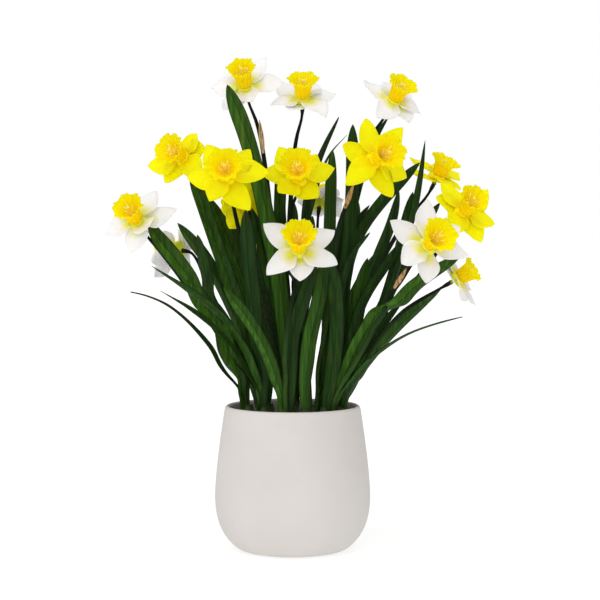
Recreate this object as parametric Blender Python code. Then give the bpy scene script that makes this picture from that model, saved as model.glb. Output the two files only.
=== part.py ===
"""Potted daffodil: sixteen trumpet daffodils, eight white and eight yellow, in a round matte pot.

Metres, +Z up. The origin is the middle of the pot's underside, and -Y is the side of the front
view. Every dimension below is in millimetres until a mesh is made.
"""
import math
import random

import bmesh
import bpy
from mathutils import Vector
from mathutils.kdtree import KDTree

MM = 0.001
SOLVER = "EXACT"
FLAT = math.radians(0.8)       # faces that turn less than this are one face
GAP = 0.3                      # between solids that touch

# The front view: how far the eye is from the pot's axis, how steeply it looks down, and the
# place on the axis that it looks at.
SIGHT_DISTANCE = 2000.0
SIGHT_TILT = math.radians(3.2)
SIGHT_ACROSS = 7.4
SIGHT_UP = 251.0

# Pot: outside radius at each height, from the edge of the flat underside up to the lip.
POT_OUTSIDE = (
    (47.0, 0.0), (56.0, 2.0), (68.0, 14.0), (75.5, 30.0), (78.2, 48.0),
    (77.6, 68.0), (74.6, 98.0), (68.3, 142.5), (67.2, 144.6),
)
POT_HEIGHT = 145.6
POT_WALL = 5.2
POT_FLOOR = 8.0
POT_SIDES = 32

# Soil: level at the wall and at the middle.
SOIL_LEVEL = 128.0
SOIL_CROWN = 131.0
HOLE_DEPTH = 12.0

# A shoot's neck: the sheath round the foot of its leaves.
NECK_RADIUS = 8.0
NECK_TOP_RADIUS = 4.5
NECK_RISE = 16.0
NECK_SIDES = 8

# Blades: thickness at the edge and at the middle, and how far the edges stand up, as a share of
# half the width.
LEAF_EDGE = 0.7
LEAF_MIDDLE = 1.5
LEAF_FOLD = 0.28
TEPAL_EDGE = 0.7
TEPAL_MIDDLE = 1.2
TEPAL_FOLD = 0.08

# Stalk, pedicel and ovary: radius at each distance back from the flower end.
STALK_STEPS = (
    (0.0, 2.0), (3.0, 2.2), (6.0, 1.9), (9.0, 1.5), (15.0, 1.4), (24.0, 1.6), (40.0, 2.0),
    (60.0, 2.2),
)
STALK_RADIUS = 2.2
STALK_SPACING = 62.0
STALK_SIDES = 5
BEND_BACK = 14.0               # from the flower end of a stalk back to its bend

# Bloom: distances along its axis are measured from the plane of the tepals, + to the front.
TUBE_BACK = -7.0
TUBE_RADIUS = 2.6
HUB_BACK = -2.5
HUB_RADIUS = 7.4
HUB_FRONT = 3.2
HUB_SIDES = 6
TEPAL_WIDTH = 25.0
TEPAL_ROOT = 4.5               # where a tepal starts inside the hub
TEPAL_STEP = 1.7               # inner tepals in front, outer ones behind
TEPAL_LEAST = 0.72             # shortest and longest tepal of a bloom, as shares of its length
TEPAL_MOST = 1.08
CORONA_BASE_RADIUS = 6.6
CORONA_NECK_RADIUS = 9.2
CORONA_FRILL = 0.9
CORONA_WALL = 1.0
CORONA_SIDES = 12
SPATHE_WIDTH = 5.0
SPATHE_THICK = 0.8
SPATHE_LEAN = 0.12             # how far the tip stands off the stalk, as a share of the length

WHITE = "white"
YELLOW = "yellow"

# Where each shoot leaves the soil.
SHOOTS = {
    "left": (-44, -10),
    "left_front": (-28, -30),
    "front_left": (-8, -44),
    "front_right": (12, -44),
    "right_front": (32, -34),
    "right": (47, -12),
    "middle_left": (-24, 2),
    "middle": (-2, -14),
    "middle_right": (20, -8),
    "right_back": (38, 14),
    "back_left": (-32, 32),
    "back": (0, 38),
    "back_right": (28, 38),
}

# Blooms: name, colour, place in the front view, depth, axis, length of a tepal, front and mouth
# radius of the trumpet, shoot, the places in the front view that the stalk passes, upwards, and
# where the six tepals point in the front view, from the bloom's place, all the way round.
BLOOMS = (
    ("top_left", WHITE, (-47, 462), 8, (-.14, -.68, .72), 39, 27, 13.5, "middle",
     ((-10, 200), (-18, 300), (-27, 385), (-34, 425)),
     ((20, 30), (38, 5), (6, -14), (-22, -22), (-34, 0), (-16, 24))),
    ("top_middle", WHITE, (10, 450), 15, (.02, -.50, .86), 38, 24, 15.0, "back",
     ((0, 200), (-4, 300), (0, 385), (4, 415)),
     ((10, 17), (33, 6), (23, -16), (-14, -9), (-32, -5), (-24, 19))),
    ("top_right", WHITE, (100, 448), 5, (.41, -.50, .77), 38, 24, 15.0, "back_right",
     ((35, 200), (45, 300), (60, 364), (76, 412)),
     ((0, 19), (15, 10), (28, -11), (16, -20), (-16, -17), (-30, 20))),
    ("left_high", YELLOW, (-109, 393), -5, (-.55, -.76, .34), 37, 25, 16.0, "middle_left",
     ((-40, 200), (-66, 270), (-81, 328), (-87, 358)),
     ((13, 24), (22, 10), (18, -20), (-18, -25), (-35, -9), (-20, 16))),
    ("left_inner", YELLOW, (-65, 374), -58, (-.08, -.90, .42), 41, 28, 17.5, "middle",
     ((-12, 170), (-35, 240), (-54, 322), (-60, 349)),
     ((-21, 30), (23, 26), (42, 4), (22, -34), (-18, -24), (-40, -1))),
    ("middle_high", YELLOW, (6, 372), -35, (-.05, -.86, .50), 40, 29, 18.0, "middle_right",
     ((16, 180), (8, 250), (-2, 320), (-2, 343)),
     ((-19, 31), (18, 24), (36, 11), (19, -20), (-20, -14), (-36, 6))),
    ("right_inner", YELLOW, (82, 391), -50, (.50, -.81, .28), 41, 28, 17.5, "middle_right",
     ((28, 180), (36, 250), (43, 315), (51, 339), (61, 366)),
     ((-10, 40), (27, 31), (32, -18), (16, -38), (-29, -25), (-33, 14))),
    ("right_high", YELLOW, (144, 373), 35, (.42, -.30, .86), 38, 21, 15.0, "right_back",
     ((50, 180), (70, 250), (100, 312), (121, 339)),
     ((-28, 20), (0, 11), (20, 3), (24, -11), (5, -6), (-22, 2))),
    ("far_right", YELLOW, (170, 338), -20, (.38, -.72, .58), 38, 27, 14.5, "right_back",
     ((62, 180), (100, 240), (136, 288), (150, 306)),
     ((-21, 31), (24, 23), (31, -12), (18, -30), (-9, -20), (-26, 17))),
    ("far_left", WHITE, (-155, 329), -25, (-.30, -.75, .59), 39, 27, 15.0, "middle_left",
     ((-50, 185), (-84, 232), (-112, 274), (-134, 302)),
     ((19, 31), (40, 12), (10, -8), (-5, -30), (-31, -13), (-18, 18))),
    ("left_turned", WHITE, (-115, 301), 55, (-.80, .50, .10), 38, 20, 12.0, "back_left",
     ((-50, 190), (-72, 235), (-86, 268)),
     ((-17, 16), (3, 17), (15, 2), (12, -14), (-24, -27), (-27, -12))),
    ("front_middle", WHITE, (6, 300), -80, (.03, -.77, .64), 41, 28, 16.5, "front_left",
     ((-8, 170), (-8, 198), (-4, 235), (2, 262)),
     ((2, 24), (36, 20), (39, -13), (1, -30), (-32, -23), (-35, 28))),
    ("right_low", WHITE, (135, 305), -66, (.40, -.80, .42), 43, 28, 17.5, "right_front",
     ((48, 165), (75, 215), (92, 246), (103, 261), (114, 279)),
     ((-2, 45), (32, 20), (39, -10), (-3, -38), (-27, -19), (-38, 25))),
    ("far_right_low", WHITE, (164, 272), -25, (.82, -.25, .50), 32, 20, 12.5, "right",
     ((58, 165), (78, 200), (105, 236), (127, 251)),
     ((-16, 26), (-2, 16), (14, -9), (19, -26), (4, -22), (-11, 12))),
    ("behind_left", YELLOW, (-49, 347), -18, (-.30, .90, .10), 34, 25, 15.0, "left_front",
     ((-38, 190), (-42, 260), (-42, 310)),
     ((2, 30), (24, 12), (15, -17), (-14, -25), (-22, -6), (-18, 18))),
    ("behind_middle", WHITE, (27, 348), 75, (.10, .60, .79), 36, 17, 10.0, "back",
     ((5, 180), (15, 250), (24, 300)),
     ((12, 16), (24, 3), (20, -13), (-5, -14), (-22, 0), (-12, 16))),
)

# Dry spathes: how high on the stalk each one starts and ends, and the side of the stalk that it
# is on, in degrees (0 right, 90 front, 180 left).
SPATHES = {
    "top_left": (397, 430, 85),
    "left_high": (328, 356, 143),
    "right_inner": (343, 368, 95),
    "far_right": (282, 306, 143),
    "right_low": (265, 285, 125),
    "behind_left": (280, 308, 37),
}

# Leaves: shoot, width, turn of the blade about the vertical in degrees (0 shows its breadth to
# the front), depth of the tip, and places in the front view, upwards.
LEAVES = (
    ("left", 6, 55, -25, ((-48, 153), (-69, 187), (-96, 221), (-122, 245), (-145, 255),
     (-162, 259))),
    ("left", 17, 25, -22, ((-50, 165), (-64, 201), (-83, 242), (-108, 281), (-153, 334))),
    ("left", 14, -30, -16, ((-52, 160), (-68, 206), (-85, 266), (-95, 316))),
    ("left_front", 8, 55, -40, ((-31, 157), (-42, 180), (-68, 214), (-97, 239), (-132, 260))),
    ("left_front", 10, -35, -45, ((-33, 170), (-59, 222), (-82, 245), (-114, 267), (-141, 285))),
    ("left_front", 15, 20, 0, ((-30, 160), (-40, 205), (-68, 282), (-88, 341), (-105, 394))),
    ("left_front", 17, -25, -46, ((-31, 160), (-35, 201), (-39, 235), (-46, 311), (-47, 341))),
    ("front_left", 12, 10, -78, ((-10, 157), (-19, 181), (-28, 204), (-42, 229), (-69, 264))),
    ("front_left", 14, -20, -52, ((-3, 160), (-2, 211), (5, 236), (13, 259), (25, 289))),
    ("front_right", 16, 25, -48, ((12, 160), (15, 185), (17, 211), (27, 249), (34, 300))),
    ("right_front", 15, -15, -58, ((35, 155), (39, 179), (44, 215), (43, 251), (40, 290))),
    ("right_front", 15, 15, -50, ((47, 160), (74, 221), (97, 246), (130, 271), (155, 287),
     (167, 294))),
    ("right_front", 9, 60, -45, ((50, 159), (65, 179), (84, 196), (112, 216), (142, 227),
     (170, 234))),
    ("right", 12, 20, -12, ((49, 158), (67, 181), (87, 204), (117, 237), (148, 261))),
    ("right", 9, -30, 0, ((50, 165), (62, 189), (88, 223), (113, 254))),
    ("right", 11, 40, -32, ((52, 151), (62, 169), (75, 185), (85, 198))),
    ("right", 12, 30, 8, ((52, 170), (62, 226), (73, 255), (95, 287), (108, 308))),
    ("middle_left", 13, -20, 24, ((-30, 180), (-57, 233), (-72, 266), (-86, 292), (-99, 308),
     (-115, 328))),
    ("middle_left", 14, 15, 24, ((-24, 160), (-35, 215), (-47, 266), (-64, 313), (-83, 353))),
    ("middle_left", 9, 40, 32, ((-22, 160), (-34, 230), (-50, 300), (-69, 349))),
    ("middle", 17, 20, -30, ((-3, 160), (-10, 251), (-18, 301), (-41, 406), (-65, 465))),
    ("middle", 15, 30, -12, ((-3, 206), (-12, 241), (-23, 279), (-32, 311), (-41, 343))),
    ("middle_right", 13, 25, -10, ((32, 160), (36, 206), (37, 240), (37, 296), (39, 371),
     (40, 401))),
    ("middle_right", 14, -25, -8, ((37, 160), (47, 221), (56, 301), (61, 366), (60, 426))),
    ("middle_right", 10, 35, -28, ((30, 170), (42, 220), (54, 291), (77, 318))),
    ("right_back", 8, 30, -14, ((60, 180), (95, 250), (120, 331), (128, 373), (132, 410))),
    ("right_back", 12, 15, 4, ((44, 160), (50, 240), (56, 296), (79, 339), (127, 388))),
    ("right_back", 14, -25, 25, ((52, 150), (67, 181), (95, 251), (112, 311), (120, 359))),
    ("right_back", 16, -20, 10, ((47, 155), (55, 191), (67, 251), (75, 293))),
    ("right_back", 12, 35, 26, ((44, 180), (52, 270), (65, 328), (77, 346))),
    ("right_back", 12, 20, 50, ((63, 190), (103, 270), (131, 325), (147, 348))),
    ("back_left", 15, 25, 85, ((-50, 200), (-62, 270), (-68, 330))),
    ("back_left", 14, -35, 55, ((-40, 200), (-48, 280), (-38, 355))),
    ("back_left", 13, 50, 112, ((-42, 170), (-60, 220), (-88, 262))),
    ("back", 13, 20, 25, ((-5, 200), (-9, 300), (-12, 360), (-14, 392))),
    ("back", 11, 40, 30, ((4, 200), (5, 280), (12, 351), (26, 394), (46, 433))),
    ("back", 6, -40, 50, ((6, 220), (8, 300), (30, 390), (54, 415))),
    ("back", 13, 20, 28, ((0, 200), (-2, 300), (-1, 349))),
    ("back", 15, -15, 95, ((0, 180), (8, 260), (20, 335))),
    ("back", 16, 30, 118, ((-8, 170), (-22, 225), (-33, 265), (-40, 300))),
    ("back_right", 12, 30, 55, ((42, 180), (68, 251), (77, 276), (87, 301), (99, 329), (106, 361))),
    ("back_right", 11, -10, 30, ((34, 200), (49, 290), (64, 368), (80, 410), (96, 434))),
    ("back_right", 15, 25, 90, ((40, 200), (62, 260), (92, 305))),
    ("back_right", 14, -30, 66, ((35, 190), (54, 270), (66, 348))),
    ("back_right", 12, 10, 118, ((32, 175), (34, 225), (46, 278))),
)
LEAF_SPACING = 50.0            # along a leaf, between one fold and the next
LEAF_SWELL = 0.55              # share of the width at the foot
LEAF_TAPER = 0.22              # share of the length that narrows to the tip of a narrow leaf
BLUNT_FROM = 12                # leaves this wide end in an arched tip instead
BLUNT_LENGTH = 36.0
BLUNT_ARCH = 0.72
BLUNT_LAST = 6.0               # from the last fold of a blunt leaf to its tip
ROOT_SPREAD = 3.6              # how far from the neck's middle a leaf or stalk starts

# Bending clear: strands are followed by beads, which push each other apart.
STATIONS = 44
LEAF_BEAD = 2.7
STALK_BEAD = 3.4
TEPAL_BEAD = 5.2
SPATHE_BEAD = 3.2
ROUNDS = 70
FREE_RISE = 45.0               # strands of one shoot may touch this far above the soil
SIDE_SHARE = 0.35              # share of a push that goes sideways and not in depth


def on_sight_line(across, up, depth):
    """The place at this depth that the front view shows at (across, up)."""
    spread = (SIGHT_DISTANCE + depth) / SIGHT_DISTANCE
    rise = (up - SIGHT_UP) * spread - depth * math.sin(SIGHT_TILT)
    x = SIGHT_ACROSS + (across - SIGHT_ACROSS) * spread
    return Vector((x, depth, SIGHT_UP + rise / math.cos(SIGHT_TILT)))


def rounded(points):
    """Cut a route's corners until it is a smooth curve between the same two ends."""
    for _ in range(3):
        cut = [points[0]]
        for start, end in zip(points, points[1:]):
            cut.append(start.lerp(end, 0.25))
            cut.append(start.lerp(end, 0.75))
        cut.append(points[-1])
        points = cut
    return points


def distances(points):
    """How far along its route each point lies."""
    run = [0.0]
    for start, end in zip(points, points[1:]):
        run.append(run[-1] + (end - start).length)
    return run


def at_distance(points, run, distance):
    """The place on a route at a distance from its start."""
    index = 0
    while index < len(points) - 2 and run[index + 1] < distance:
        index += 1
    span = run[index + 1] - run[index]
    return points[index].lerp(points[index + 1], (distance - run[index]) / span)


def spaced(points, count):
    """The same route, as evenly spaced points."""
    run = distances(points)
    return [at_distance(points, run, run[-1] * step / (count - 1)) for step in range(count)]


def foot_of(shoot, towards):
    """Where a leaf or stalk starts in its shoot's neck, on the side that it leans to."""
    x, y = SHOOTS[shoot]
    lean = Vector((towards.x - x, towards.y - y, 0.0)).normalized()
    return Vector((x, y, SOIL_CROWN + GAP * 10)) + lean * ROOT_SPREAD


def climb(foot, tip_depth, marks, top):
    """The places that a strand passes: its depth changes steadily with height."""
    places = [foot, foot + Vector((0.0, 0.0, 8.0))]
    for across, up in marks:
        share = max(0.0, min(1.0, (up - foot.z) / (top - foot.z)))
        places.append(on_sight_line(across, up, foot.y + (tip_depth - foot.y) * share ** 1.3))
    return places


class Bloom:
    """One flower: its place, the way it faces, and the small differences of its own."""

    def __init__(self, row):
        name, colour, place, depth, axis, length, front, mouth, shoot, marks, tips = row
        self.name = name
        self.colour = colour
        self.across, self.up = place
        self.depth = depth
        self.axis = Vector(axis).normalized()
        self.top = (Vector((0.0, 0.0, 1.0)) - self.axis * self.axis.z).normalized()
        self.side = self.axis.cross(self.top)
        self.front = front
        self.mouth = mouth
        self.shoot = shoot
        self.marks = marks
        self.tips = [self.tip(aim, length) for aim in tips]
        own = random.Random(name)
        self.curl = [own.uniform(-0.14, 0.14) for _ in range(6)]
        self.frill = [own.uniform(0.5, 1.5) for _ in range(CORONA_SIDES)]

    def tip(self, aim, length):
        """Angle, radius and lift of the tepal that points this way in the front view: it lies in
        the bloom's plane unless that would make it too short or too long."""
        centre = self.centre()
        level = on_sight_line(self.across + aim[0], self.up + aim[1], self.depth)
        behind = on_sight_line(self.across + aim[0], self.up + aim[1], self.depth + 10.0)
        sight = (behind - level).normalized()
        start = level - centre
        flat = start - sight * (start.dot(self.axis) / sight.dot(self.axis))
        wanted = max(length * TEPAL_LEAST, min(length * TEPAL_MOST, flat.length))
        nearest = start - sight * start.dot(sight)
        run = math.sqrt(max(0.0, wanted ** 2 - nearest.length_squared))
        ends = [nearest + sight * run, nearest - sight * run]
        end = min(ends, key=lambda place: abs(place.dot(self.axis)))
        angle = math.atan2(end.dot(self.side), end.dot(self.top))
        lift = end.dot(self.axis)
        return angle, math.sqrt(end.length_squared - lift ** 2), lift

    def centre(self):
        return on_sight_line(self.across, self.up, self.depth)

    def radial(self, angle):
        return self.top * math.cos(angle) + self.side * math.sin(angle)

    def point(self, angle, radius, along):
        return self.centre() + self.radial(angle) * radius + self.axis * along

    def tepal_angle(self, index, share):
        """Which way a tepal's middle lies: it curls a little on its way to the tip."""
        return self.tips[index][0] + self.curl[index] * (1.0 - share) ** 2

    def tepal_radius(self, index, share):
        return TEPAL_ROOT + (self.tips[index][1] - TEPAL_ROOT) * share

    def tepal_lift(self, index, share):
        """How far in front of the bloom's plane a tepal lies: every other one is an inner one."""
        layer = TEPAL_STEP if index % 2 == 0 else -TEPAL_STEP
        return layer * (1.0 - share ** 3) + self.tips[index][2] * share ** 2

    def pedicel(self):
        """The end of the stalk: the front of the ovary and the bend behind it."""
        end = self.centre() + self.axis * (TUBE_BACK - GAP)
        return end, end - self.axis * BEND_BACK

    def beads(self):
        """Balls that fill the bloom: place and radius of each."""
        balls = []
        for index in range(6):
            for share, aside in ((0.2, 0.0), (0.4, 0.30), (0.4, -0.30), (0.64, 0.26),
                                 (0.64, -0.26), (0.84, 0.10), (0.84, -0.10)):
                angle = self.tepal_angle(index, share) + aside
                radius = self.tepal_radius(index, share)
                balls.append((self.point(angle, radius, self.tepal_lift(index, share)),
                              TEPAL_BEAD))
            angle, radius, lift = self.tips[index]
            balls.append((self.point(angle, radius - 2, lift), LEAF_BEAD))
        for share, ring in ((0.25, 5), (0.55, 7), (0.85, self.mouth - 4)):
            for step in range(8):
                angle = math.radians(45 * step)
                balls.append((self.point(angle, ring, self.front * share), TEPAL_BEAD))
        for along in (TUBE_BACK / 2, TUBE_BACK):
            balls.append((self.point(0.0, 0.0, along), TEPAL_BEAD))
        return balls


class Strand:
    """A leaf or a stalk: its route from the neck of its shoot to its tip or its flower."""

    def __init__(self, shoot, route, width=0.0, turn=0.0, bloom=None):
        self.shoot = shoot
        self.route = spaced(rounded(route), STATIONS)
        self.length = distances(self.route)[-1]
        self.width = width
        self.turn = math.radians(turn)
        self.bloom = bloom

    def direction(self, station):
        low = max(station - 1, 0)
        high = min(station + 1, len(self.route) - 1)
        return (self.route[high] - self.route[low]).normalized()

    def across(self, along):
        """Which way the blade is broad, square to its own direction."""
        level = Vector((math.cos(self.turn), math.sin(self.turn), 0.0))
        return (level - along * level.dot(along)).normalized()

    def half(self, share):
        """Half of a leaf's width, at a share of its length from the foot."""
        swell = min(1.0, LEAF_SWELL + 1.3 * share)
        if self.width < BLUNT_FROM:
            taper = min(1.0, (1.0 - share) / LEAF_TAPER) ** 0.6
        else:
            back = min(1.0, (1.0 - share) * self.length / BLUNT_LENGTH)
            taper = (1.0 - (1.0 - back) ** 2) ** BLUNT_ARCH
        return self.width / 2 * swell * taper

    def stalk_line(self):
        """The places that a stalk's bar goes through, from the flower down, and its radii."""
        run = distances(self.route)
        rest = run[-1] - STALK_STEPS[-1][0]
        count = round(rest / STALK_SPACING)
        lower = [(STALK_STEPS[-1][0] + rest * k / count, STALK_RADIUS) for k in range(1, count + 1)]
        steps = [*STALK_STEPS, *lower]
        places = [at_distance(self.route, run, run[-1] - back) for back, _ in steps]
        return places, [radius for _, radius in steps]

    def spathe_line(self):
        """The dry spathe of a stalk: its foot, its tip and the side of the stalk that it is on."""
        foot_up, tip_up, side = SPATHES[self.bloom.name]
        places, radii = self.stalk_line()
        low = next(k for k, place in enumerate(places) if place.z <= foot_up)
        rise = (places[low - 1] - places[low]).normalized()
        start = places[low] + rise * (foot_up - places[low].z) / rise.z
        away = Vector((math.cos(math.radians(side)), -math.sin(math.radians(side)), 0.0))
        away = (away - rise * away.dot(rise)).normalized()
        foot = start + away * (radii[low] + GAP + SPATHE_THICK / 2)
        return foot, foot + (rise + away * SPATHE_LEAN) * (tip_up - foot_up) / rise.z, away

    def beads(self):
        balls = []
        for station, place in enumerate(self.route):
            if self.bloom:
                balls.append((place, STALK_BEAD, station))
                continue
            aside = self.half(station / (STATIONS - 1)) - LEAF_BEAD / 2
            across = self.across(self.direction(station))
            balls.append((place, LEAF_BEAD, station))
            if aside > 1.0:
                balls.append((place + across * aside, LEAF_BEAD, station))
                balls.append((place - across * aside, LEAF_BEAD, station))
        if self.bloom and self.bloom.name in SPATHES:
            foot, tip, _ = self.spathe_line()
            low = next(k for k, place in enumerate(self.route) if place.z >= foot.z)
            for step in range(5):
                balls.append((foot.lerp(tip, step / 4), SPATHE_BEAD, low + step))
        return balls


def may_touch(first, second, place):
    """Whether two things are one plant part there, so that they needn't be pushed apart."""
    if first is second:
        return True
    one = isinstance(first, Strand)
    other = isinstance(second, Strand)
    if one and other:
        return first.shoot == second.shoot and place.z < SOIL_CROWN + FREE_RISE
    if one:
        return first.bloom is second
    if other:
        return second.bloom is first
    return False


def all_beads(blooms, strands):
    """Every bead, as place, radius, owner and station."""
    beads = []
    for bloom in blooms:
        for place, radius in bloom.beads():
            beads.append((place, radius, bloom, 0))
    for strand in strands:
        for place, radius, station in strand.beads():
            beads.append((place, radius, strand, station))
    return beads


def pushes_between(beads):
    """How far each owner's stations are pushed by the beads that come too close."""
    tree = KDTree(len(beads))
    for number, bead in enumerate(beads):
        tree.insert(bead[0], number)
    tree.balance()
    pushes = {}
    for number, (place, radius, owner, station) in enumerate(beads):
        for other_place, other_number, distance in tree.find_range(place, radius + TEPAL_BEAD):
            if other_number <= number:
                continue
            _, other_radius, other, other_station = beads[other_number]
            need = radius + other_radius - distance
            if need <= 0.0 or may_touch(owner, other, place):
                continue
            away = Vector(((place.x - other_place.x) * SIDE_SHARE, place.y - other_place.y, 0.0))
            if away.length < 0.01:
                away = Vector((0.0, 1.0, 0.0))
            away = away.normalized() * need * 0.5
            pushes.setdefault(owner, {}).setdefault(station, []).append(away)
            pushes.setdefault(other, {}).setdefault(other_station, []).append(-away)
    return pushes


def strongest(vectors):
    """The longest push each way, added up."""
    forward = max((v for v in vectors if v.y >= 0), key=lambda v: v.length, default=None)
    backward = max((v for v in vectors if v.y < 0), key=lambda v: v.length, default=None)
    total = Vector((0.0, 0.0, 0.0))
    if forward:
        total += forward
    if backward:
        total += backward
    return total


def bend_strand(strand, found):
    """Move a strand's stations by their pushes, smoothed, with its ends held."""
    shift = [Vector((0.0, 0.0, 0.0)) for _ in strand.route]
    for station, vectors in found.items():
        shift[station] = strongest(vectors)
    last = len(shift) - 1
    for _ in range(4):
        previous = shift
        shift = [
            previous[max(k - 1, 0)] * 0.3 + previous[k] * 0.4 + previous[min(k + 1, last)] * 0.3
            for k in range(last + 1)
        ]
    for station, place in enumerate(strand.route):
        hold = min(1.0, max(0.0, (place.z - SOIL_CROWN - 10) / 30))
        if strand.bloom:
            hold *= min(1.0, max(0.0, (last - station - 8) / 6))
        strand.route[station] = place + shift[station] * hold * 1.6


def move_bloom(bloom, stalk, found):
    """Move a bloom in depth along its sight line, and let its stalk follow."""
    push = strongest([vector for vectors in found.values() for vector in vectors])
    before = bloom.centre()
    bloom.depth += push.y * 0.5
    step = bloom.centre() - before
    last = len(stalk.route) - 1
    for station in range(last + 1):
        share = min(1.0, station / (last - 8))
        stalk.route[station] += step * share ** 1.5


def bend_clear(blooms, strands):
    """Bend leaves and stalks, and set blooms forward or back, until none runs into another."""
    stalks = {strand.bloom: strand for strand in strands if strand.bloom}
    for _ in range(ROUNDS):
        pushes = pushes_between(all_beads(blooms, strands))
        for strand in strands:
            if strand in pushes:
                bend_strand(strand, pushes[strand])
        for bloom in blooms:
            if bloom in pushes:
                move_bloom(bloom, stalks[bloom], pushes[bloom])


def grow():
    """Every bloom and every strand of the plant, clear of one another."""
    blooms = [Bloom(row) for row in BLOOMS]
    strands = []
    for bloom in blooms:
        end, bend = bloom.pedicel()
        foot = foot_of(bloom.shoot, end)
        route = climb(foot, bend.y, bloom.marks, bloom.marks[-1][1]) + [bend, end]
        strands.append(Strand(bloom.shoot, route, bloom=bloom))
    for shoot, width, turn, tip_depth, marks in LEAVES:
        tip = on_sight_line(*marks[-1], tip_depth)
        route = climb(foot_of(shoot, tip), tip_depth, marks, marks[-1][1])
        strands.append(Strand(shoot, route, width, turn))
    bend_clear(blooms, strands)
    return blooms, strands


def blade(stations, edge, middle, fold, tip):
    """A thin closed blade: stations are (place, across, facing, half width), root to tip."""
    corners = []
    for place, across, facing, half in stations:
        rise = fold * half
        section = (
            (-half, rise + edge / 2), (0.0, middle / 2), (half, rise + edge / 2),
            (half, rise - edge / 2), (0.0, -middle / 2), (-half, rise - edge / 2),
        )
        corners += [place + across * aside + facing * lift for aside, lift in section]
    corners.append(tip)
    faces = [(0, 1, 4), (0, 4, 5), (1, 2, 3), (1, 3, 4)]
    for low in range(0, 6 * (len(stations) - 1), 6):
        for side in range(6):
            a, b = low + side, low + (side + 1) % 6
            c, d = b + 6, a + 6
            if side < 3:
                faces += [(a, b, c), (a, c, d)]
            else:
                faces += [(a, b, d), (b, c, d)]
    last = 6 * (len(stations) - 1)
    for side in range(6):
        faces.append((last + side, last + (side + 1) % 6, len(corners) - 1))
    return corners, faces


def tube(places, radii, sides):
    """A closed round bar through the places, with a flat cap on each end."""
    corners = []
    aside = Vector((1.0, 0.0, 0.0))
    for number, (place, radius) in enumerate(zip(places, radii)):
        before = places[max(number - 1, 0)]
        after = places[min(number + 1, len(places) - 1)]
        along = (after - before).normalized()
        aside = (aside - along * aside.dot(along)).normalized()
        other = along.cross(aside)
        for step in range(sides):
            angle = 2 * math.pi * step / sides
            corners.append(place + (aside * math.cos(angle) + other * math.sin(angle)) * radius)
    faces = [tuple(range(sides)), tuple(range(len(corners) - sides, len(corners)))]
    faces += bands(len(places), sides)
    return corners, faces


def bands(rings, sides):
    """The triangles between rings of corners that follow one another."""
    faces = []
    for low in range(0, sides * (rings - 1), sides):
        for step in range(sides):
            a, b = low + step, low + (step + 1) % sides
            faces += [(a, b, b + sides), (a, b + sides, a + sides)]
    return faces


def turned(profile, sides):
    """A closed solid turned about Z from (radius, height) points; the two ends are on the axis."""
    corners = [Vector((0.0, 0.0, profile[0][1])), Vector((0.0, 0.0, profile[-1][1]))]
    rings = profile[1:-1]
    for radius, height in rings:
        for step in range(sides):
            angle = 2 * math.pi * step / sides
            corners.append(Vector((radius * math.cos(angle), radius * math.sin(angle), height)))
    faces = [tuple(corner + 2 for corner in face) for face in bands(len(rings), sides)]
    last = 2 + sides * (len(rings) - 1)
    for step in range(sides):
        after = (step + 1) % sides
        faces += [(0, 2 + step, 2 + after), (1, last + step, last + after)]
    return corners, faces


def finish(name, roughness, rgb, metallic=0.0):
    """A plain material; its colour is given as it looks on a screen, from 0 to 255."""
    material = bpy.data.materials.new(name)
    material.use_nodes = True
    shader = material.node_tree.nodes["Principled BSDF"]
    linear = [(value / 255) ** 2.2 for value in rgb]
    shader.inputs["Base Color"].default_value = (*linear, 1.0)
    shader.inputs["Roughness"].default_value = roughness
    shader.inputs["Metallic"].default_value = metallic
    return material


def closed_mesh(name, shape):
    """A mesh from corners and faces, with its faces pointing out."""
    corners, faces = shape
    mesh = bpy.data.meshes.new(name)
    mesh.from_pydata([corner * MM for corner in corners], [], faces)
    work = bmesh.new()
    work.from_mesh(mesh)
    bmesh.ops.recalc_face_normals(work, faces=work.faces)
    bmesh.ops.triangulate(work, faces=[face for face in work.faces if len(face.verts) > 4])
    work.to_mesh(mesh)
    work.free()
    return mesh


def add_object(name, mesh, material, collection=None):
    item = bpy.data.objects.new(name, mesh)
    item.data.materials.clear()
    item.data.materials.append(material)
    (collection or bpy.context.scene.collection).objects.link(item)
    return item


def largest_body(mesh):
    """Keep the outer skin of the biggest body, with no sealed hollow and no loose scrap, and
    join its flat faces where the skin stays closed."""
    work = bmesh.new()
    work.from_mesh(mesh)
    left = set(work.verts)
    groups = []
    for start in work.verts:
        if start not in left:
            continue
        group = [start]
        left.discard(start)
        for corner in group:
            for edge in corner.link_edges:
                other = edge.other_vert(corner)
                if other in left:
                    left.discard(other)
                    group.append(other)
        groups.append(group)
    groups.sort(key=len, reverse=True)
    scrap = [corner for group in groups[1:] for corner in group]
    bmesh.ops.delete(work, geom=scrap, context="VERTS")
    work.to_mesh(mesh)
    bmesh.ops.dissolve_limit(work, angle_limit=FLAT, verts=work.verts, edges=work.edges)
    bmesh.ops.triangulate(work, faces=work.faces)
    if all(edge.is_manifold for edge in work.edges):
        work.to_mesh(mesh)
    work.free()


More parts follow.
